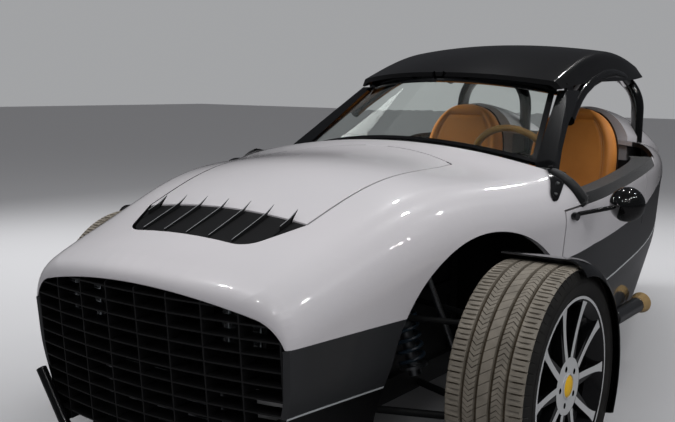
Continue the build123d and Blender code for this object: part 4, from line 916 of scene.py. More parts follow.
archSettings = {
    "axleS": 0.060, "axleZ": 0.320, "radius": 0.3845, "thick": 0.004, "inner": 0.470, "skirt": 0.006,
    "firstTurn": -40.0, "lastTurn": 108.0, "steps": 60,
}
springSettings = {
    # across, station and height of each end
    "top": (0.352, -0.075, 0.560), "foot": (0.420, -0.060, 0.285), "coils": 8, "coilRadius": 0.036,
    "wireRadius": 0.0055, "damperRadius": 0.019, "seatOver": 1.15, "seatThick": 0.008, "footSeat": 0.03,
    "firstCoil": 0.01, "coilEnds": 0.05, "turnSteps": 20, "wireSides": 8,
}
rockerBolts = {
    # station, height and radius of each bolt on the plate's outer face
    "plateX": 0.408, "spots": ((-0.045, 0.622, 0.014), (0.060, 0.610, 0.017), (0.112, 0.628, 0.011)),
    "head": 0.007, "socket": 0.005,
}


def makeArchLiner():
    # a black moulded liner closes the arch above and behind the wheel
    s = archSettings
    skin = outlineTree("front_cowl", "side_panels", "sills")
    bm = bmesh.new()
    for sign in (1, -1):
        rows = []
        for step in range(s["steps"] + 1):
            turn = radians(s["firstTurn"] + (s["lastTurn"] - s["firstTurn"]) * step / s["steps"])
            y = frontAxleY + s["axleS"] + s["radius"] * sin(turn)
            z = s["axleZ"] + s["radius"] * cos(turn)
            hit = skin.ray_cast(Vector((sign * outside, y, z)), Vector((-sign, 0, 0)))[0]
            if hit is None:
                rows.append(None)
                continue
            outerX = abs(hit.x) - s["skirt"]
            spread = (outerX, (outerX + s["inner"]) / 2, s["inner"])
            rows.append([bm.verts.new((sign * x, y, z)) for x in spread])
        for first, second in zip(rows, rows[1:]):
            if first and second:
                for k in range(2):
                    bm.faces.new((first[k], second[k], second[k + 1], first[k + 1]))
    bmesh.ops.solidify(bm, geom=bm.faces[:], thickness=s["thick"])
    bmesh.ops.recalc_face_normals(bm, faces=bm.faces)
    keepBmesh("arch_liners", bm, "root", ["satinBlack"], (), 50.0)


def makeSprings():
    # coil-over units inboard of each rocker
    s = springSettings
    wire = bmesh.new()
    tube = bmesh.new()
    sides = s["wireSides"]
    for sign in (1, -1):
        top, foot = (Vector((sign * x, frontAxleY + station, z)) for x, station, z in (s["top"], s["foot"]))
        axis = foot - top
        turn = Vector((0, 0, 1)).rotation_difference(axis).to_matrix()
        seatRadius = s["coilRadius"] * s["seatOver"]
        addDisc(tube, top, axis, s["damperRadius"], axis.length, 20)
        addDisc(tube, top, axis, seatRadius, s["seatThick"], 24)
        addDisc(tube, foot - axis.normalized() * s["footSeat"], axis, seatRadius, s["seatThick"], 24)
        steps = s["coils"] * s["turnSteps"]
        rings = []
        for step in range(steps + 1):
            angle = 2 * pi * step / s["turnSteps"]
            middle = Vector((s["coilRadius"] * cos(angle), s["coilRadius"] * sin(angle),
                             s["firstCoil"] + (axis.length - s["coilEnds"]) * step / steps))
            out = Vector((cos(angle), sin(angle), 0))
            ring = []
            for k in range(sides):
                spin = 2 * pi * k / sides
                local = middle + (out * cos(spin) + Vector((0, 0, 1)) * sin(spin)) * s["wireRadius"]
                ring.append(wire.verts.new(top + turn @ local))
            rings.append(ring)
        for first, second in zip(rings, rings[1:]):
            for k in range(sides):
                after = (k + 1) % sides
                wire.faces.new((first[k], second[k], second[after], first[after]))
        wire.faces.new(rings[0])
        wire.faces.new(rings[-1])
    for bm in (wire, tube):
        bmesh.ops.recalc_face_normals(bm, faces=bm.faces)
    keepBmesh("front_springs", wire, "root", ["springBlue"])
    keepBmesh("front_dampers", tube, "root", ["aluminium"])


def makeRockerBolts():
    # round bolt heads on the rocker plates, each with a hexagon on top
    s = rockerBolts
    bm = bmesh.new()
    for sign in (1, -1):
        for station, height, radius in s["spots"]:
            spot = Vector((sign * s["plateX"], frontAxleY + station, height))
            out = Vector((sign, 0, 0))
            addDisc(bm, spot, out, radius, s["head"], 24, 0.9)
            addDisc(bm, spot + out * s["head"], out, radius * 0.6, s["socket"], 6, 0.9)
    keepBmesh("rocker_bolts", bm, "root", ["steel"])


makeArchLiner()
makeSprings()
makeRockerBolts()


tipLength = 0.075


def exhaustRule(centre, normal):
    # the tips are tinted by heat
    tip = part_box("exhausts")[1].y
    return 1 if centre.y > tip - tipLength else 0


dressNode("exhausts", ["steel", "exhaust"], 0.0008, exhaustRule)
print("running gear dressed")


# Wheels

wheelSettings = {
    "faceInset": {"left": 0.022, "right": 0.022, "rear": 0.060}, "boltCircle": 0.052, "lugs": 5,
    "capRadius": 0.030, "capRise": 0.006, "nutRadius": 0.0105, "nutLength": 0.018, "nutIn": 0.022,
    "spokeEnd": (0.199, 0.208), "spokeReach": 0.2165, "spokeFoot": 0.0546, "footTurn": 9.0,
    "spokeTip": 0.2026, "tipTurn": 17.5,
    "hornFrom": -0.125, "hornTo": 0.0335, "hornHalf": (0.0088, 0.018), "hornThick": 0.010,
    "hornRows": 16, "hornClimb": 2.4, "hornFlare": 7, "hornRaise": 0.0004, "starRadius": 0.098,
    "lipInset": 0.003, "lipRadius": 0.232, "faceBand": 0.002,
    "valveTurn": 200, "valveReach": 0.205, "valveIn": 0.034, "valveLean": -0.25, "valveRadius": 0.0042,
    "valveLength": 0.03,
}


def wheelFace(wheel):
    low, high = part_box(f"tyre_{wheel}")
    sign = -1 if wheel == "right" else 1
    outer = high.x if sign > 0 else low.x
    return sign, outer - sign * wheelSettings["faceInset"][wheel]


def makeWheel(wheel):
    # the rim's skin, its spokes' outer ends, cap, collar, nuts and valve
    s = wheelSettings
    sign, faceX = wheelFace(wheel)
    centre = wheelCentre[wheel]
    body = f"wheel_{wheel}"

    def rimRule(point, normal):
        flat = normal.x * sign > 0.9
        reach = hypot(point.y - centre.y, point.z - centre.z)
        onFace = abs(point.x - faceX) < s["faceBand"]
        onLip = reach > s["lipRadius"] and flat
        return 1 if flat and onFace and reach < s["starRadius"] or onLip else 0

    def stretchSpokes(bm):
        # the spokes' faces run out to the rim's cone
        for vert in bm.verts:
            reach = hypot(vert.co.y - centre.y, vert.co.z - centre.z)
            if s["spokeEnd"][0] < reach < s["spokeEnd"][1] and abs(vert.co.x - faceX) < 0.001:
                away = Vector((0, vert.co.y - centre.y, vert.co.z - centre.z)) / reach
                vert.co += away * (s["spokeReach"] - reach)

    dressNode(f"rim_{wheel}", ["wheelBlack", "machined"], 0.0012, rimRule, stretchSpokes)
    axis = Vector((sign, 0, 0))
    hub = Vector((faceX, centre.y, centre.z))
    horns = bmesh.new()
    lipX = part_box(f"rim_{wheel}")[1 if sign > 0 else 0].x - sign * s["lipInset"]
    for pair in range(s["lugs"]):
        for lean in (-1, 1):
            addHorn(horns, pi / 2 + pair * 2 * pi / s["lugs"], lean, sign, faceX, lipX, centre)
    bmesh.ops.recalc_face_normals(horns, faces=horns.faces)
    horns.normal_update()
    paintFaces(horns, lambda point, normal: 1 if normal.x * sign > 0.12 else 0)
    keepBmesh(f"spoke_horns_{wheel}", horns, body, ["wheelBlack", "machined"])
    cap = bmesh.new()
    r, rise = s["capRadius"], s["capRise"]
    spinProfile(cap, [(0.0003, rise), (r * 0.5, rise * 0.92), (r * 0.8, rise * 0.7), (r * 0.95, rise * 0.35),
                      (r, 0.0), (r, -0.006), (0.0003, -0.006)], hub, axis, 40)
    bmesh.ops.recalc_face_normals(cap, faces=cap.faces)
    keepBmesh(f"hub_cap_{wheel}", cap, body, ["capYellow"])
    collar = bmesh.new()
    spinProfile(collar, [(r + 0.0006, -0.004), (r + 0.0006, 0.002), (r + 0.002, 0.0034), (r + 0.0045, 0.002),
                         (r + 0.0055, -0.004)], hub, axis, 40)
    bmesh.ops.recalc_face_normals(collar, faces=collar.faces)
    keepBmesh(f"cap_collar_{wheel}", collar, body, ["machined"])
    nuts = bmesh.new()
    for lug in range(s["lugs"]):
        turn = pi / 2 + lug * 2 * pi / s["lugs"]
        spot = hub - axis * s["nutIn"] + Vector((0, -sign * cos(turn), sin(turn))) * s["boltCircle"]
        addDisc(nuts, spot, axis, s["nutRadius"] * 0.75, s["nutLength"], 6, 0.86)
    keepBmesh(f"lug_nuts_{wheel}", nuts, body, ["steel"])
    stem = bmesh.new()
    across = Vector((0, cos(radians(s["valveTurn"])), sin(radians(s["valveTurn"]))))
    spot = hub - axis * s["valveIn"] + across * s["valveReach"]
    addDisc(stem, spot, axis + across * s["valveLean"], s["valveRadius"], s["valveLength"], 12, 0.8)
    keepBmesh(f"valve_{wheel}", stem, body, ["seal"])


def addHorn(bm, middle, lean, sign, faceX, lipX, centre):
    # a spoke's outer end: it climbs from the face plane to the lip
    s = wheelSettings
    footTurn = middle + lean * radians(s["footTurn"])
    tipTurn = middle + lean * radians(s["tipTurn"])
    start = Vector((s["spokeFoot"] * cos(footTurn), s["spokeFoot"] * sin(footTurn)))
    end = Vector((s["spokeTip"] * cos(tipTurn), s["spokeTip"] * sin(tipTurn)))
    along = (end - start).normalized()
    across = Vector((-along.y, along.x))
    rows = []
    for k in range(s["hornRows"] + 1):
        share = k / s["hornRows"]
        middlePoint = end + along * (s["hornFrom"] + (s["hornTo"] - s["hornFrom"]) * share)
        half = s["hornHalf"][0] + (s["hornHalf"][1] - s["hornHalf"][0]) * share ** s["hornFlare"]
        x = faceX + sign * s["hornRaise"] + (lipX - faceX) * share ** s["hornClimb"]
        row = []
        for side, depth in ((-1, 0.0), (1, 0.0), (1, s["hornThick"]), (-1, s["hornThick"])):
            flat = middlePoint + across * side * half
            row.append(bm.verts.new((x - sign * depth, centre.y - sign * flat.x, centre.z + flat.y)))
        rows.append(row)
    for first, second in zip(rows, rows[1:]):
        for k in range(4):
            bm.faces.new((first[k], first[(k + 1) % 4], second[(k + 1) % 4], second[k]))
    bm.faces.new(rows[0])
    bm.faces.new(rows[-1])


for wheel in wheelCentre:
    makeWheel(wheel)
print("wheels dressed")


# Cabin: seats, steering wheel

seatSettings = {
    "centreX": 0.257, "footStation": 1.365, "backFoot": 0.365, "backHead": 1.022, "tilt": 12.0,
    "backHalf": 0.198, "knee": 0.62, "kneeTaper": 0.012, "seamInset": 0.046, "seamDepth": 0.009,
    "bolster": 0.026, "columns": 44, "rows": 64, "padSink": 0.022, "padWall": 0.034,
    "shellOver": 0.007, "shellRise": 0.004, "shellBack": 0.036, "shellHollow": 0.030, "shellThick": 0.006,
}
padForm = {
    # the rolled edge, the wings beside it, the seam's width, and the belly's rise, place and reach
    "edgeBand": 0.03, "crown": 0.022, "headShare": 0.9, "wingAt": 0.018, "wingBand": 0.05, "wingFade": 0.75,
    "seamBand": 0.010, "belly": 0.014, "bellyAt": 0.28, "bellyReach": 0.22, "bellyHalf": 0.14,
}
threadSettings = {
    "apart": 0.0045, "sink": 0.0205, "radius": 0.0016, "pitch": 0.007, "stitch": (0.15, 0.8),
    "from": 0.06, "over": 0.90, "points": 60,
}
cushionSettings = {
    "front": 1.083, "rear": 1.385, "low": 0.243, "top": 0.372, "half": 0.196, "over": 0.05, "back": 0.04,
    "cuts": 14, "square": 0.72, "seamAt": 0.62, "bolster": 0.020, "dish": 0.012, "seamDepth": 0.005,
    "seamBand": 0.03,
}


def seatHalfWidth(share):
    # half width of the back at a share of its height: near straight sides, then a round head
    s = seatSettings
    if share < s["knee"]:
        return s["backHalf"] - s["kneeTaper"] * (share / s["knee"]) ** 2
    turn = (share - s["knee"]) / (1 - s["knee"])
    return (s["backHalf"] - s["kneeTaper"]) * (1 - turn ** 2.6) ** (1 / 2.2)


def seatOut(x, share, height):
    # how far the pad stands out: a rolled edge, side wings, a lumbar belly and a sunk seam
    s = seatSettings
    f = padForm
    half = seatHalfWidth(share)
    edge = max(0.0, min(half - abs(x), height * (1 - share) * f["headShare"]))
    pillow = min(1.0, edge / f["edgeBand"])
    crown = f["crown"] * (1 - (1 - pillow) ** 2)
    wing = s["bolster"] * max(0.0, 1 - abs(edge - f["wingAt"]) / f["wingBand"]) * (1 - f["wingFade"] * share)
    seam = s["seamDepth"] * max(0.0, 1 - abs(edge - s["seamInset"]) / f["seamBand"])
    belly = f["belly"] * max(0.0, 1 - abs(share - f["bellyAt"]) / f["bellyReach"])
    belly *= max(0.0, 1 - (x / f["bellyHalf"]) ** 2)
    return crown + wing + belly - seam


def makeSeatBack(side, sign):
    # a padded back, its hard shell behind and two rows of stitches
    s = seatSettings
    lean = radians(s["tilt"])
    foot = Vector((sign * s["centreX"], frontAxleY + s["footStation"], s["backFoot"]))
    up = Vector((0, sin(lean), cos(lean)))
    ahead = Vector((0, -cos(lean), sin(lean)))
    height = (s["backHead"] - foot.z) / cos(lean)
    bm = bmesh.new()
    bmesh.ops.create_grid(bm, x_segments=s["columns"], y_segments=s["rows"], size=1.0)
    for vert in bm.verts:
        u, v = vert.co.x, (vert.co.y + 1) / 2
        share = min(0.999, 0.012 + v * 0.988)
        x = u * seatHalfWidth(share)
        rise = share * height
        vert.co = foot + Vector((x, 0, 0)) + up * rise + ahead * (seatOut(x, share, height) - s["padSink"])
    border = [e for e in bm.edges if e.is_boundary]
    made = bmesh.ops.extrude_edge_only(bm, edges=border)
    rim = [g for g in made["geom"] if isinstance(g, bmesh.types.BMVert)]
    for vert in rim:
        vert.co -= ahead * s["padWall"]
    bmesh.ops.holes_fill(bm, edges=[e for e in bm.edges if e.is_boundary], sides=0)
    bmesh.ops.triangulate(bm, faces=[f for f in bm.faces if len(f.verts) > 4])
    bmesh.ops.recalc_face_normals(bm, faces=bm.faces)
    pad = keepBmesh(f"seat_back_pad_{side}", bm, "root", ["tanLeather"], (f"seat_{side}",),
                    60.0)
    shell = bmesh.new()
    bmesh.ops.create_grid(shell, x_segments=24, y_segments=32, size=1.0)
    for vert in shell.verts:
        u, v = vert.co.x, (vert.co.y + 1) / 2
        share = min(0.999, 0.004 + v * 0.996)
        half = seatHalfWidth(share) + s["shellOver"]
        rise = share * (height + s["shellRise"])
        hollow = s["shellHollow"] * (1 - u * u)
        vert.co = foot + Vector((u * half, 0, 0)) + up * rise - ahead * (s["shellBack"] + hollow)
    bmesh.ops.solidify(shell, geom=shell.faces[:], thickness=s["shellThick"])
    bmesh.ops.recalc_face_normals(shell, faces=shell.faces)
    keepBmesh(f"seat_shell_{side}", shell, "root", ["shellBlack"], (f"seat_{side}",), 50.0)
    thread = bmesh.new()
    for offset in (-threadSettings["apart"], threadSettings["apart"]):
        addSeam(thread, foot, up, ahead, height, s["seamInset"] + offset)
    keepBmesh(f"seat_seams_{side}", thread, "root", ["thread"])


def addSeam(bm, foot, up, ahead, height, inset):
    # a row of short stitches that follows the outline of the back
    s = threadSettings
    points = []
    for k in range(s["points"] + 1):
        share = s["from"] + s["over"] * k / s["points"]
        half = seatHalfWidth(share) - inset
        if share * height > height - inset * 1.1 or half < 0.004:
            break
        points.append((half, share * height))
    for mirrorSign in (-1, 1):
        for (x0, z0), (x1, z1) in zip(points, points[1:]):
            run = hypot(x1 - x0, z1 - z0)
            count = max(1, int(run / s["pitch"]))
            for n in range(count):
                ends = []
                for stitchEnd in s["stitch"]:
                    part = (n + stitchEnd) / count
                    x, rise = x0 + (x1 - x0) * part, z0 + (z1 - z0) * part
                    out = seatOut(x, rise / height, height) - s["sink"]
                    ends.append(foot + Vector((mirrorSign * x, 0, 0)) + up * rise + ahead * out)
                addDisc(bm, ends[0], ends[1] - ends[0], s["radius"], (ends[1] - ends[0]).length, 6)


def squeezed(a, b, c):
    # cube to sphere, along one axis
    return a * (1 - b * b / 2 - c * c / 2 + b * b * c * c / 3) ** 0.5


def makeCushion(side, sign):
    # a rounded block with raised sides, a dished middle and two seams
    s = cushionSettings
    front, rear = frontAxleY + s["front"], frontAxleY + s["rear"]
    low, top, seamAt = s["low"], s["top"], s["seamAt"]
    bm = bmesh.new()
    bmesh.ops.create_cube(bm, size=2.0)
    bmesh.ops.subdivide_edges(bm, edges=bm.edges[:], cuts=s["cuts"], use_grid_fill=True)
    halfX, halfY, halfZ = s["half"], (rear - front) / 2 + s["over"], (top - low) / 2
    for vert in bm.verts:
        u, v, w = vert.co
        ball = Vector((squeezed(u, v, w), squeezed(v, w, u), squeezed(w, u, v)))
        q = Vector((u, v, w)) * s["square"] + ball * (1 - s["square"])
        swell = 0.0
        if w > 0:
            swell += s["bolster"] * max(0.0, (abs(q.x) - seamAt) / (1 - seamAt))
        if w > 0.5:
            swell -= s["dish"] * (1 - min(1.0, abs(q.x) / seamAt) ** 2)
            swell -= s["seamDepth"] * max(0.0, 1 - abs(abs(q.x) - seamAt) / s["seamBand"])
        vert.co = Vector((sign * seatSettings["centreX"] + q.x * halfX,
                          (front + rear) / 2 + s["back"] + q.y * halfY,
                          (low + top) / 2 + q.z * halfZ + swell))
    bmesh.ops.recalc_face_normals(bm, faces=bm.faces)
    pad = keepBmesh(f"seat_cushion_{side}", bm, "root", ["tanLeather"], (f"seat_{side}",),
                    70.0)
    smooth = pad.modifiers.new("Soften", "SUBSURF")
    smooth.levels = smooth.render_levels = 1


for side, sign in (("left", 1), ("right", -1)):
    makeSeatBack(side, sign)
    makeCushion(side, sign)
print("seats made")

steeringSettings = {
    "hubX": 0.245, "hubStation": 0.935, "hubZ": 0.800, "slope": 22.0, "rimInner": 0.145, "bossRadius": 0.036,
}


def steeringRule(point, normal):
    # leather rim, aluminium spokes, black boss, by the distance from the hub's axis
    s = steeringSettings
    hub = Vector((s["hubX"], frontAxleY + s["hubStation"], s["hubZ"]))
    lean = radians(s["slope"])
    axis = Vector((0, cos(lean), sin(lean)))
    away = point - hub
    reach = (away - axis * away.dot(axis)).length
    if reach > s["rimInner"]:
        return 0
    return 1 if reach > s["bossRadius"] else 2


dressNode("steering_wheel", ["rimLeather", "aluminium", "satinBlack"], 0.0, steeringRule)


# Trim on the body: pinstripe, pillar feet and the padded front legs of the cockpit's edge

stripeSettings = {
    "front": (-0.700, -0.262), "rear": (0.46, 2.10), "halfWidth": 0.0024, "rise": 0.0007, "step": 0.012,
    "thick": 0.0009, "jump": 0.02,
}


def makeStripes():
    # a thin raised line along the lower paint line, ahead of the arch and behind it
    s = stripeSettings
    skin = outlineTree("side_panels", "sills", "door_left", "door_right", "front_cowl", "rear_deck")
    bm = bmesh.new()
    for sign in (1, -1):
        for first, last in (s["front"], s["rear"]):
            count = int((last - first) / s["step"])
            rows = []
            for k in range(count + 1):
                y = frontAxleY + first + (last - first) * k / count
                height = lineHeight(paintLines["stripe"], y)
                pair = []
                for offset in (-s["halfWidth"], s["halfWidth"]):
                    start = Vector((sign * outside, y, height + offset))
                    hit = skin.ray_cast(start, Vector((-sign, 0, 0)))[0]
                    if hit is None:
                        break
                    pair.append(bm.verts.new(hit + Vector((sign * s["rise"], 0, 0))))
                rows.append(pair)
            for a, b in zip(rows, rows[1:]):
                if len(a) == 2 and len(b) == 2 and abs(a[0].co.x - b[0].co.x) < s["jump"]:
                    bm.faces.new((a[0], b[0], b[1], a[1]))
    bmesh.ops.delete(bm, geom=[v for v in bm.verts if not v.link_faces], context="VERTS")
    bmesh.ops.solidify(bm, geom=bm.faces[:], thickness=s["thick"])
    bmesh.ops.recalc_face_normals(bm, faces=bm.faces)
    keepBmesh("pinstripes", bm, "root", ["silverLine"], (), 50.0)


makeStripes()

footSettings = {
    # across, station and height of the plate's two ends
    "top": (0.598, 0.466, 0.842), "tip": (0.650, 0.332, 0.766), "halfTop": 0.031, "halfTip": 0.014,
    "facing": (0.69, -0.25, 0.66), "thick": 0.005, "rows": 18, "columns": 6, "rayStart": 0.12, "lift": 0.0012,
    "roundFrom": 0.86, "bolts": (0.52, 0.84), "boltRadius": 0.0055, "boltHead": 0.003, "boltLift": 0.001,
}


def makePillarFeet():
    # a plate with two bolts at each pillar's foot, laid on the cowl
    s = footSettings
    skin = outlineTree("front_cowl", "cockpit_trim", "windscreen_frame")
    for side, sign in (("left", 1), ("right", -1)):
        top, tip = (Vector((sign * x, frontAxleY + station, z)) for x, station, z in (s["top"], s["tip"]))
        run = tip - top
        out = Vector((sign * s["facing"][0], *s["facing"][1:])).normalized()
        across = run.cross(out).normalized()
        bm = bmesh.new()
        bmesh.ops.create_grid(bm, x_segments=s["columns"], y_segments=s["rows"], size=1.0)
        for vert in bm.verts:
            u, v = vert.co.x, (vert.co.y + 1) / 2
            half = s["halfTop"] + (s["halfTip"] - s["halfTop"]) * v
            roundEnd = 1 - max(0.0, (v - s["roundFrom"]) / (1 - s["roundFrom"])) ** 2
            flat = top + run * v + across * u * half * max(0.05, roundEnd) ** 0.5
            hit = skin.ray_cast(flat + out * s["rayStart"], -out)[0]
            vert.co = (hit if hit is not None else flat) + out * s["lift"]
        bmesh.ops.solidify(bm, geom=bm.faces[:], thickness=-s["thick"])
        bmesh.ops.recalc_face_normals(bm, faces=bm.faces)
        keepBmesh(f"pillar_foot_{side}", bm, "root", ["glossBlack"], (), 60.0)
        bolts = bmesh.new()
        for share in s["bolts"]:
            flat = top + run * share
            hit = skin.ray_cast(flat + out * s["rayStart"], -out)[0]
            spot = (hit if hit is not None else flat) + out * (s["thick"] + s["boltLift"])
            addDisc(bolts, spot, out, s["boltRadius"], s["boltHead"], 20, 0.8)
            addDisc(bolts, spot + out * s["boltHead"], out, s["boltRadius"] * 0.45, s["boltLift"], 6, 0.9)
        keepBmesh(f"pillar_bolts_{side}", bolts, "root", ["steel"])


makePillarFeet()

postSettings = {
    # station and height along the leg's front line and its rear line
    "frontLine": ((0.455, 0.742), (0.436, 0.780), (0.424, 0.815), (0.420, 0.850)),
    "rearLine": ((0.503, 0.752), (0.478, 0.790), (0.462, 0.822), (0.455, 0.855)),
    "rows": 24, "columns": 8, "rise": 0.001, "crown": 0.007, "crownEdge": 1.6, "thick": 0.008,
    "facing": (0.80, -0.15, 0.58), "rayStart": 0.2,
    # the ray's target leans inboard above a height
    "targetX": 0.70, "leanFrom": 0.77, "lean": 1.1,
}


def alongLine(points, share):
    # the point at a share of a line's knots
    place = share * (len(points) - 1)
    index = min(int(place), len(points) - 2)
    part = place - index
    return tuple(a + (b - a) * part for a, b in zip(points[index], points[index + 1]))


def makePostPads():
    s = postSettings
    skin = outlineTree("front_cowl", "cockpit_trim", "door_left", "door_right", "door_rail_left",
                       "door_rail_right")
    for side, sign in (("left", 1), ("right", -1)):
        out = Vector((sign * s["facing"][0], *s["facing"][1:])).normalized()
        bm = bmesh.new()
        bmesh.ops.create_grid(bm, x_segments=s["columns"], y_segments=s["rows"], size=1.0)
        for vert in bm.verts:
            u, v = (vert.co.x + 1) / 2, (vert.co.y + 1) / 2
            first, last = alongLine(s["frontLine"], v), alongLine(s["rearLine"], v)
            station, height = (a + (b - a) * u for a, b in zip(first, last))
            x = s["targetX"] - s["lean"] * max(0.0, height - s["leanFrom"])
            flat = Vector((sign * x, frontAxleY + station, height))
            hit = skin.ray_cast(flat + out * s["rayStart"], -out)[0]
            edge = min(u, 1 - u) * 2
            swell = s["crown"] * (1 - (1 - min(1.0, edge * s["crownEdge"])) ** 2) ** 0.5
            vert.co = (hit if hit is not None else flat) + out * (s["rise"] + swell)
        bmesh.ops.solidify(bm, geom=bm.faces[:], thickness=-s["thick"])
        bmesh.ops.recalc_face_normals(bm, faces=bm.faces)
        keepBmesh(f"post_pad_{side}", bm, "root", ["blackLeather"], (), 60.0)


makePostPads()
print("trim made")


# Tyres: a spun profile whose rings of points are pushed in for grooves and sipes

tyreTread = {
    "pitches": 72, "steps": 8, "grooveDepth": 0.0075, "sipeDepth": 0.005, "grooveWall": 0.0015, "shear": 0.32,
    # inner and outer edge of each rib from the tyre's middle, on a tyre of the front one's width
    "width": 0.230, "ribs": ((0.0, 0.014), (0.024, 0.052), (0.062, 0.098)),
    # where the columns of points stand in one pitch, on the shoulder rib and on the ribs inside it
    "columns": {"outer": (0.0, 0.03, 0.13, 0.16, 0.34, 0.58, 0.61, 0.64),
                "inner": (0.0, 0.03, 0.08, 0.11, 0.30, 0.52, 0.55, 0.60)},
    "shoulder": 0.058, "shoulderWall": 0.024, "shoulderLean": 0.25,
    # lanes, as distances from the middle: the plain middle, the zigzag's start, knee and end, and the cuts
    "middle": 0.020, "zigzag": (0.024, 0.038, 0.052), "flank": 0.014, "zigzagLean": 1.2,
    "innerCutsFrom": 0.016, "shoulderCuts": (0.066, 0.094),
}
pointKinds = {"side": 0, "rib": 1, "floor": 2, "sunk": 3}


def tyreProfile(radius, width):
    half = width / 2
    share = width / tyreTread["width"]
    wall = tyreTread["grooveWall"]
    points = []
    for inner, outer in tyreTread["ribs"]:
        inner, outer = inner * share, outer * share
        if inner:
            points += [(inner - wall, "floor"), (inner, "rib")]
        points += [(inner + (outer - inner) * k / 4, "rib") for k in range(1, 4)]
        points.append((outer, "rib"))
        if outer < 0.08 * share:
            points.append((outer + wall, "floor"))
    points = [(0.0, "rib")] + points
    crown = [(x, radius - 0.0009 - 0.004 * (x / half) ** 4, kind) for x, kind in points]
    edge = crown[-1]
    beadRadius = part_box("rim_left")[1].z - wheelCentre["left"].z + 0.0006
    side = [
        (half - 0.0125, radius - 0.0125), (half - 0.0065, radius - 0.0225), (half - 0.0035, radius - 0.031),
        (half - 0.0022, radius - 0.0335), (half - 0.0014, radius - 0.042),
        (half - 0.0006, beadRadius + 0.036), (half - 0.0018, beadRadius + 0.024),
        (half - 0.0012, beadRadius + 0.018),
        (half - 0.0035, beadRadius + 0.012), (half - 0.0075, beadRadius + 0.004), (half - 0.0105, beadRadius),
    ]
    return crown + [(edge[0] + 0.006, edge[1] - 0.004, "side")] + [(x, r, "side") for x, r in side]


def treadTurn(x, share, pitchAngle):
    # sideways lean of the cross cuts: straight on the shoulders, zigzag over the middle ribs
    s = tyreTread
    lane = abs(x) / share
    lean = s["shear"] * pitchAngle
    if lane < s["middle"]:
        return lean * (x / share) / s["flank"]
    if lane < s["shoulder"]:
        start, knee, end = s["zigzag"]
        rise = (lane - start if lane < knee else end - lane) / s["flank"]
        return lean * (s["zigzagLean"] * rise) * (1 if x > 0 else -1)
    return lean * s["shoulderLean"] * (1 if x > 0 else -1)


def cutDepth(kind, lane, column, onShoulderWall):
    # how deep a point is pushed in: groove floors, then the slanted cuts of each rib
    s = tyreTread
    if kind == pointKinds["floor"]:
        return s["grooveDepth"]
    share = 0.0
    if kind == pointKinds["rib"] and lane > s["shoulder"]:
        inner, outer = s["shoulderCuts"]
        if lane > inner and column in (1, 2):
            share = 1.0
        elif inner < lane < outer and column in (5, 6):
            share = 0.8
    elif kind == pointKinds["rib"]:
        if lane > s["innerCutsFrom"] and column in (1, 2):
            share = 0.8
        elif column == 6:
            share = 0.6
    elif onShoulderWall and column in (1, 2):
        share = 0.5
    return s["sipeDepth"] * share


def makeTyre(wheel):
    low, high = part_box(f"tyre_{wheel}")
    centre = (low + high) / 2
    radius = (high.z - low.z) / 2
    width = high.x - low.x
    share = width / tyreTread["width"]
    half = tyreProfile(radius, width)
    profile = [(-x, r, kind) for x, r, kind in reversed(half[1:])] + half
    bm = bmesh.new()
    kindOf = bm.verts.layers.int.new("kind")
    ring = []
    for x, r, kind in profile:
        vert = bm.verts.new((x, 0, r))
        vert[kindOf] = pointKinds[kind]
        ring.append(vert)
    edges = [bm.edges.new(pair) for pair in zip(ring, ring[1:])]
    edges.append(bm.edges.new((ring[-1], ring[0])))
    total = tyreTread["pitches"] * tyreTread["steps"]
    bmesh.ops.spin(bm, geom=ring + edges, cent=(0, 0, 0), axis=(1, 0, 0), angle=2 * pi, steps=total,
                   use_merge=True)
    bmesh.ops.remove_doubles(bm, verts=bm.verts, dist=0.00001)
    pitchAngle = 2 * pi / tyreTread["pitches"]
    for vert in bm.verts:
        x, radiusHere = vert.co.x, hypot(vert.co.y, vert.co.z)
        index = round(atan2(vert.co.y, vert.co.z) / (2 * pi) * total) % total
        pitch, column = divmod(index, tyreTread["steps"])
        lane = abs(x) / share
        zone = "outer" if lane > tyreTread["shoulder"] else "inner"
        turn = (pitch + tyreTread["columns"][zone][column]) * pitchAngle + treadTurn(x, share, pitchAngle)
        onShoulderWall = radiusHere > radius - tyreTread["shoulderWall"]
        depth = cutDepth(vert[kindOf], lane, column, onShoulderWall)
        if depth and vert[kindOf] == pointKinds["rib"]:
            vert[kindOf] = pointKinds["sunk"]
        away = radiusHere - depth
        vert.co = Vector((x, away * sin(turn), away * cos(turn)))
    bmesh.ops.recalc_face_normals(bm, faces=bm.faces)
    # groove floors and sunk cuts take the groove rubber: painted shade in the recesses
    for face in bm.faces:
        kinds = {v[kindOf] for v in face.verts}
        if kinds <= {pointKinds["floor"], pointKinds["sunk"]}:
            face.material_index = 1
        else:
            face.material_index = 2 if kinds == {pointKinds["side"]} else 0
    bmesh.ops.translate(bm, verts=bm.verts, vec=centre)
    # ribs take the pale tread rubber with its painted light, the sidewalls their own near-black rubber
    keepBmesh(f"tyre_{wheel}_tread", bm, f"wheel_{wheel}",
              ["tyre", "paintedGrooveShade", "sidewall"], (f"tyre_{wheel}",), 30.0)


for wheel in wheelCentre:
    makeTyre(wheel)
print("tyres spun")


# Stage, lamps and camera

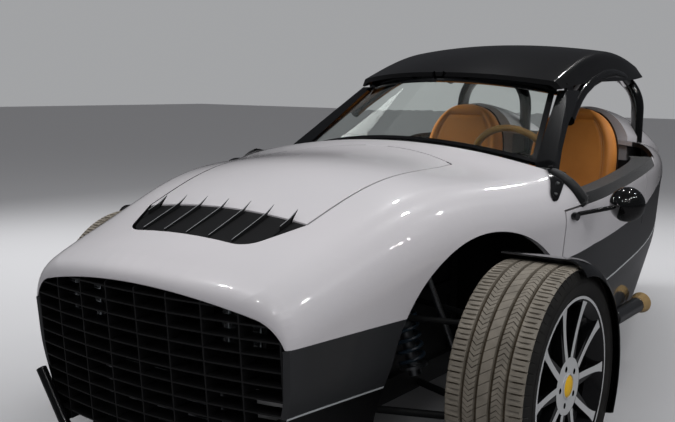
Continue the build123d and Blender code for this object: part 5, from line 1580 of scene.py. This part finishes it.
stageSettings = {
    "floorColour": "#a3a3a5", "floorMirrored": "#3e3e40", "backColour": "#b9babc", "ambientColour": "#dcdcde",
    "glossColour": "#3c3d40", "floorSize": 60.0, "worldStrength": 0.74,
    # place, target, size and power of the soft boxes, which no mirrored ray sees
    "boxes": {
        "key_box": ((-0.4, 0.0, 4.4), (0, -0.3, 0.5), (5.0, 4.0), 86.0),
        "fill_box": ((-4.0, 0.2, 3.0), (0, -0.2, 0.5), (2.5, 2.5), 160.0),
        "side_box": ((4.2, 1.2, 2.2), (0, 0.2, 0.6), (2.5, 1.5), 16.0),
        "rear_box": ((0.5, 4.0, 3.4), (0, 0.4, 0.6), (4.0, 1.6), 150.0),
    },
    "spotPower": 6.0, "spotSize": 0.11, "spotHeight": 3.7,
    "spots": ((1.6, -2.6), (3.1, -1.2), (0.2, -3.4), (2.4, 1.0), (-1.4, -1.6), (4.0, -3.2), (0.6, 2.4),
              (2.2, -4.0), (2.6, -3.1), (3.0, -2.2), (3.5, -0.3), (3.9, 0.6), (1.1, 0.3), (-0.5, 0.9)),
}


def mirrorMask(tree):
    # one where a ray is mirrored, none where it is seen straight or through glass
    ray = addNode(tree, "ShaderNodeLightPath")
    mask = addNode(tree, "ShaderNodeMath", {"operation": "SUBTRACT", "use_clamp": True}, {
        0: ray.outputs["Is Glossy Ray"], 1: ray.outputs["Is Transmission Ray"]})
    return mask.outputs[0]


def makeFloor():
    s = stageSettings
    bm = bmesh.new()
    bmesh.ops.create_grid(bm, x_segments=1, y_segments=1, size=s["floorSize"] / 2)
    mesh = bpy.data.meshes.new("studio_floor")
    bm.to_mesh(mesh)
    bm.free()
    floor = addObject("studio_floor", mesh)
    material, tree, shader = newMaterial("MattStudioFloor", s["floorColour"], Roughness=0.6)
    setTones(tree, shader, mirrorMask(tree), s["floorColour"], s["floorMirrored"])
    mesh.materials.append(material)


def makeWorld():
    # one colour for the camera and one that lights the car; mirrored rays see a darker one
    s = stageSettings
    world = bpy.data.worlds.new("Studio")
    world.use_nodes = True
    tree = world.node_tree
    background = tree.nodes["Background"]
    ray = addNode(tree, "ShaderNodeLightPath")
    lit = mixColour(tree, ray.outputs["Is Diffuse Ray"], hexColour(s["backColour"]),
                    hexColour(s["ambientColour"]))
    seen = mixColour(tree, mirrorMask(tree), lit, hexColour(s["glossColour"]))
    tree.links.new(seen, background.inputs["Color"])
    background.inputs["Strength"].default_value = s["worldStrength"]
    scene.world = world


def addAreaLight(name, place, target, size, power, glossy=True):
    lamp = bpy.data.lights.new(name, "AREA")
    lamp.shape = "RECTANGLE"
    lamp.size, lamp.size_y = size
    lamp.energy = power
    light = addObject(name, lamp)
    light.location = place
    light.rotation_euler = (Vector(target) - Vector(place)).to_track_quat("-Z", "Y").to_euler()
    light.visible_glossy = glossy


view = {
    "place": (1.730, -3.399, 1.110), "yaw": 35.22, "pitch": 7.81, "roll": 0.76, "lens": 50.03, "sensor": 36.0,
}


def makeCamera():
    data = bpy.data.cameras.new("photo_view")
    data.lens = view["lens"]
    data.sensor_width = view["sensor"]
    camera = addObject("photo_view", data)
    camera.matrix_world = (Matrix.Translation(view["place"]) @ Matrix.Rotation(radians(view["yaw"]), 4, "Z")
                           @ Matrix.Rotation(radians(90 - view["pitch"]), 4, "X")
                           @ Matrix.Rotation(radians(view["roll"]), 4, "Z"))
    scene.camera = camera


makeFloor()
makeWorld()
for name, (place, target, size, power) in stageSettings["boxes"].items():
    addAreaLight(name, place, target, size, power, False)
for number, (x, y) in enumerate(stageSettings["spots"]):
    addAreaLight(f"ceiling_spot_{number}", (x, y, stageSettings["spotHeight"]), (x, y, 0),
                 (stageSettings["spotSize"], stageSettings["spotSize"]), stageSettings["spotPower"])
makeCamera()
scene.view_settings.view_transform = "Standard"
print("stage set")
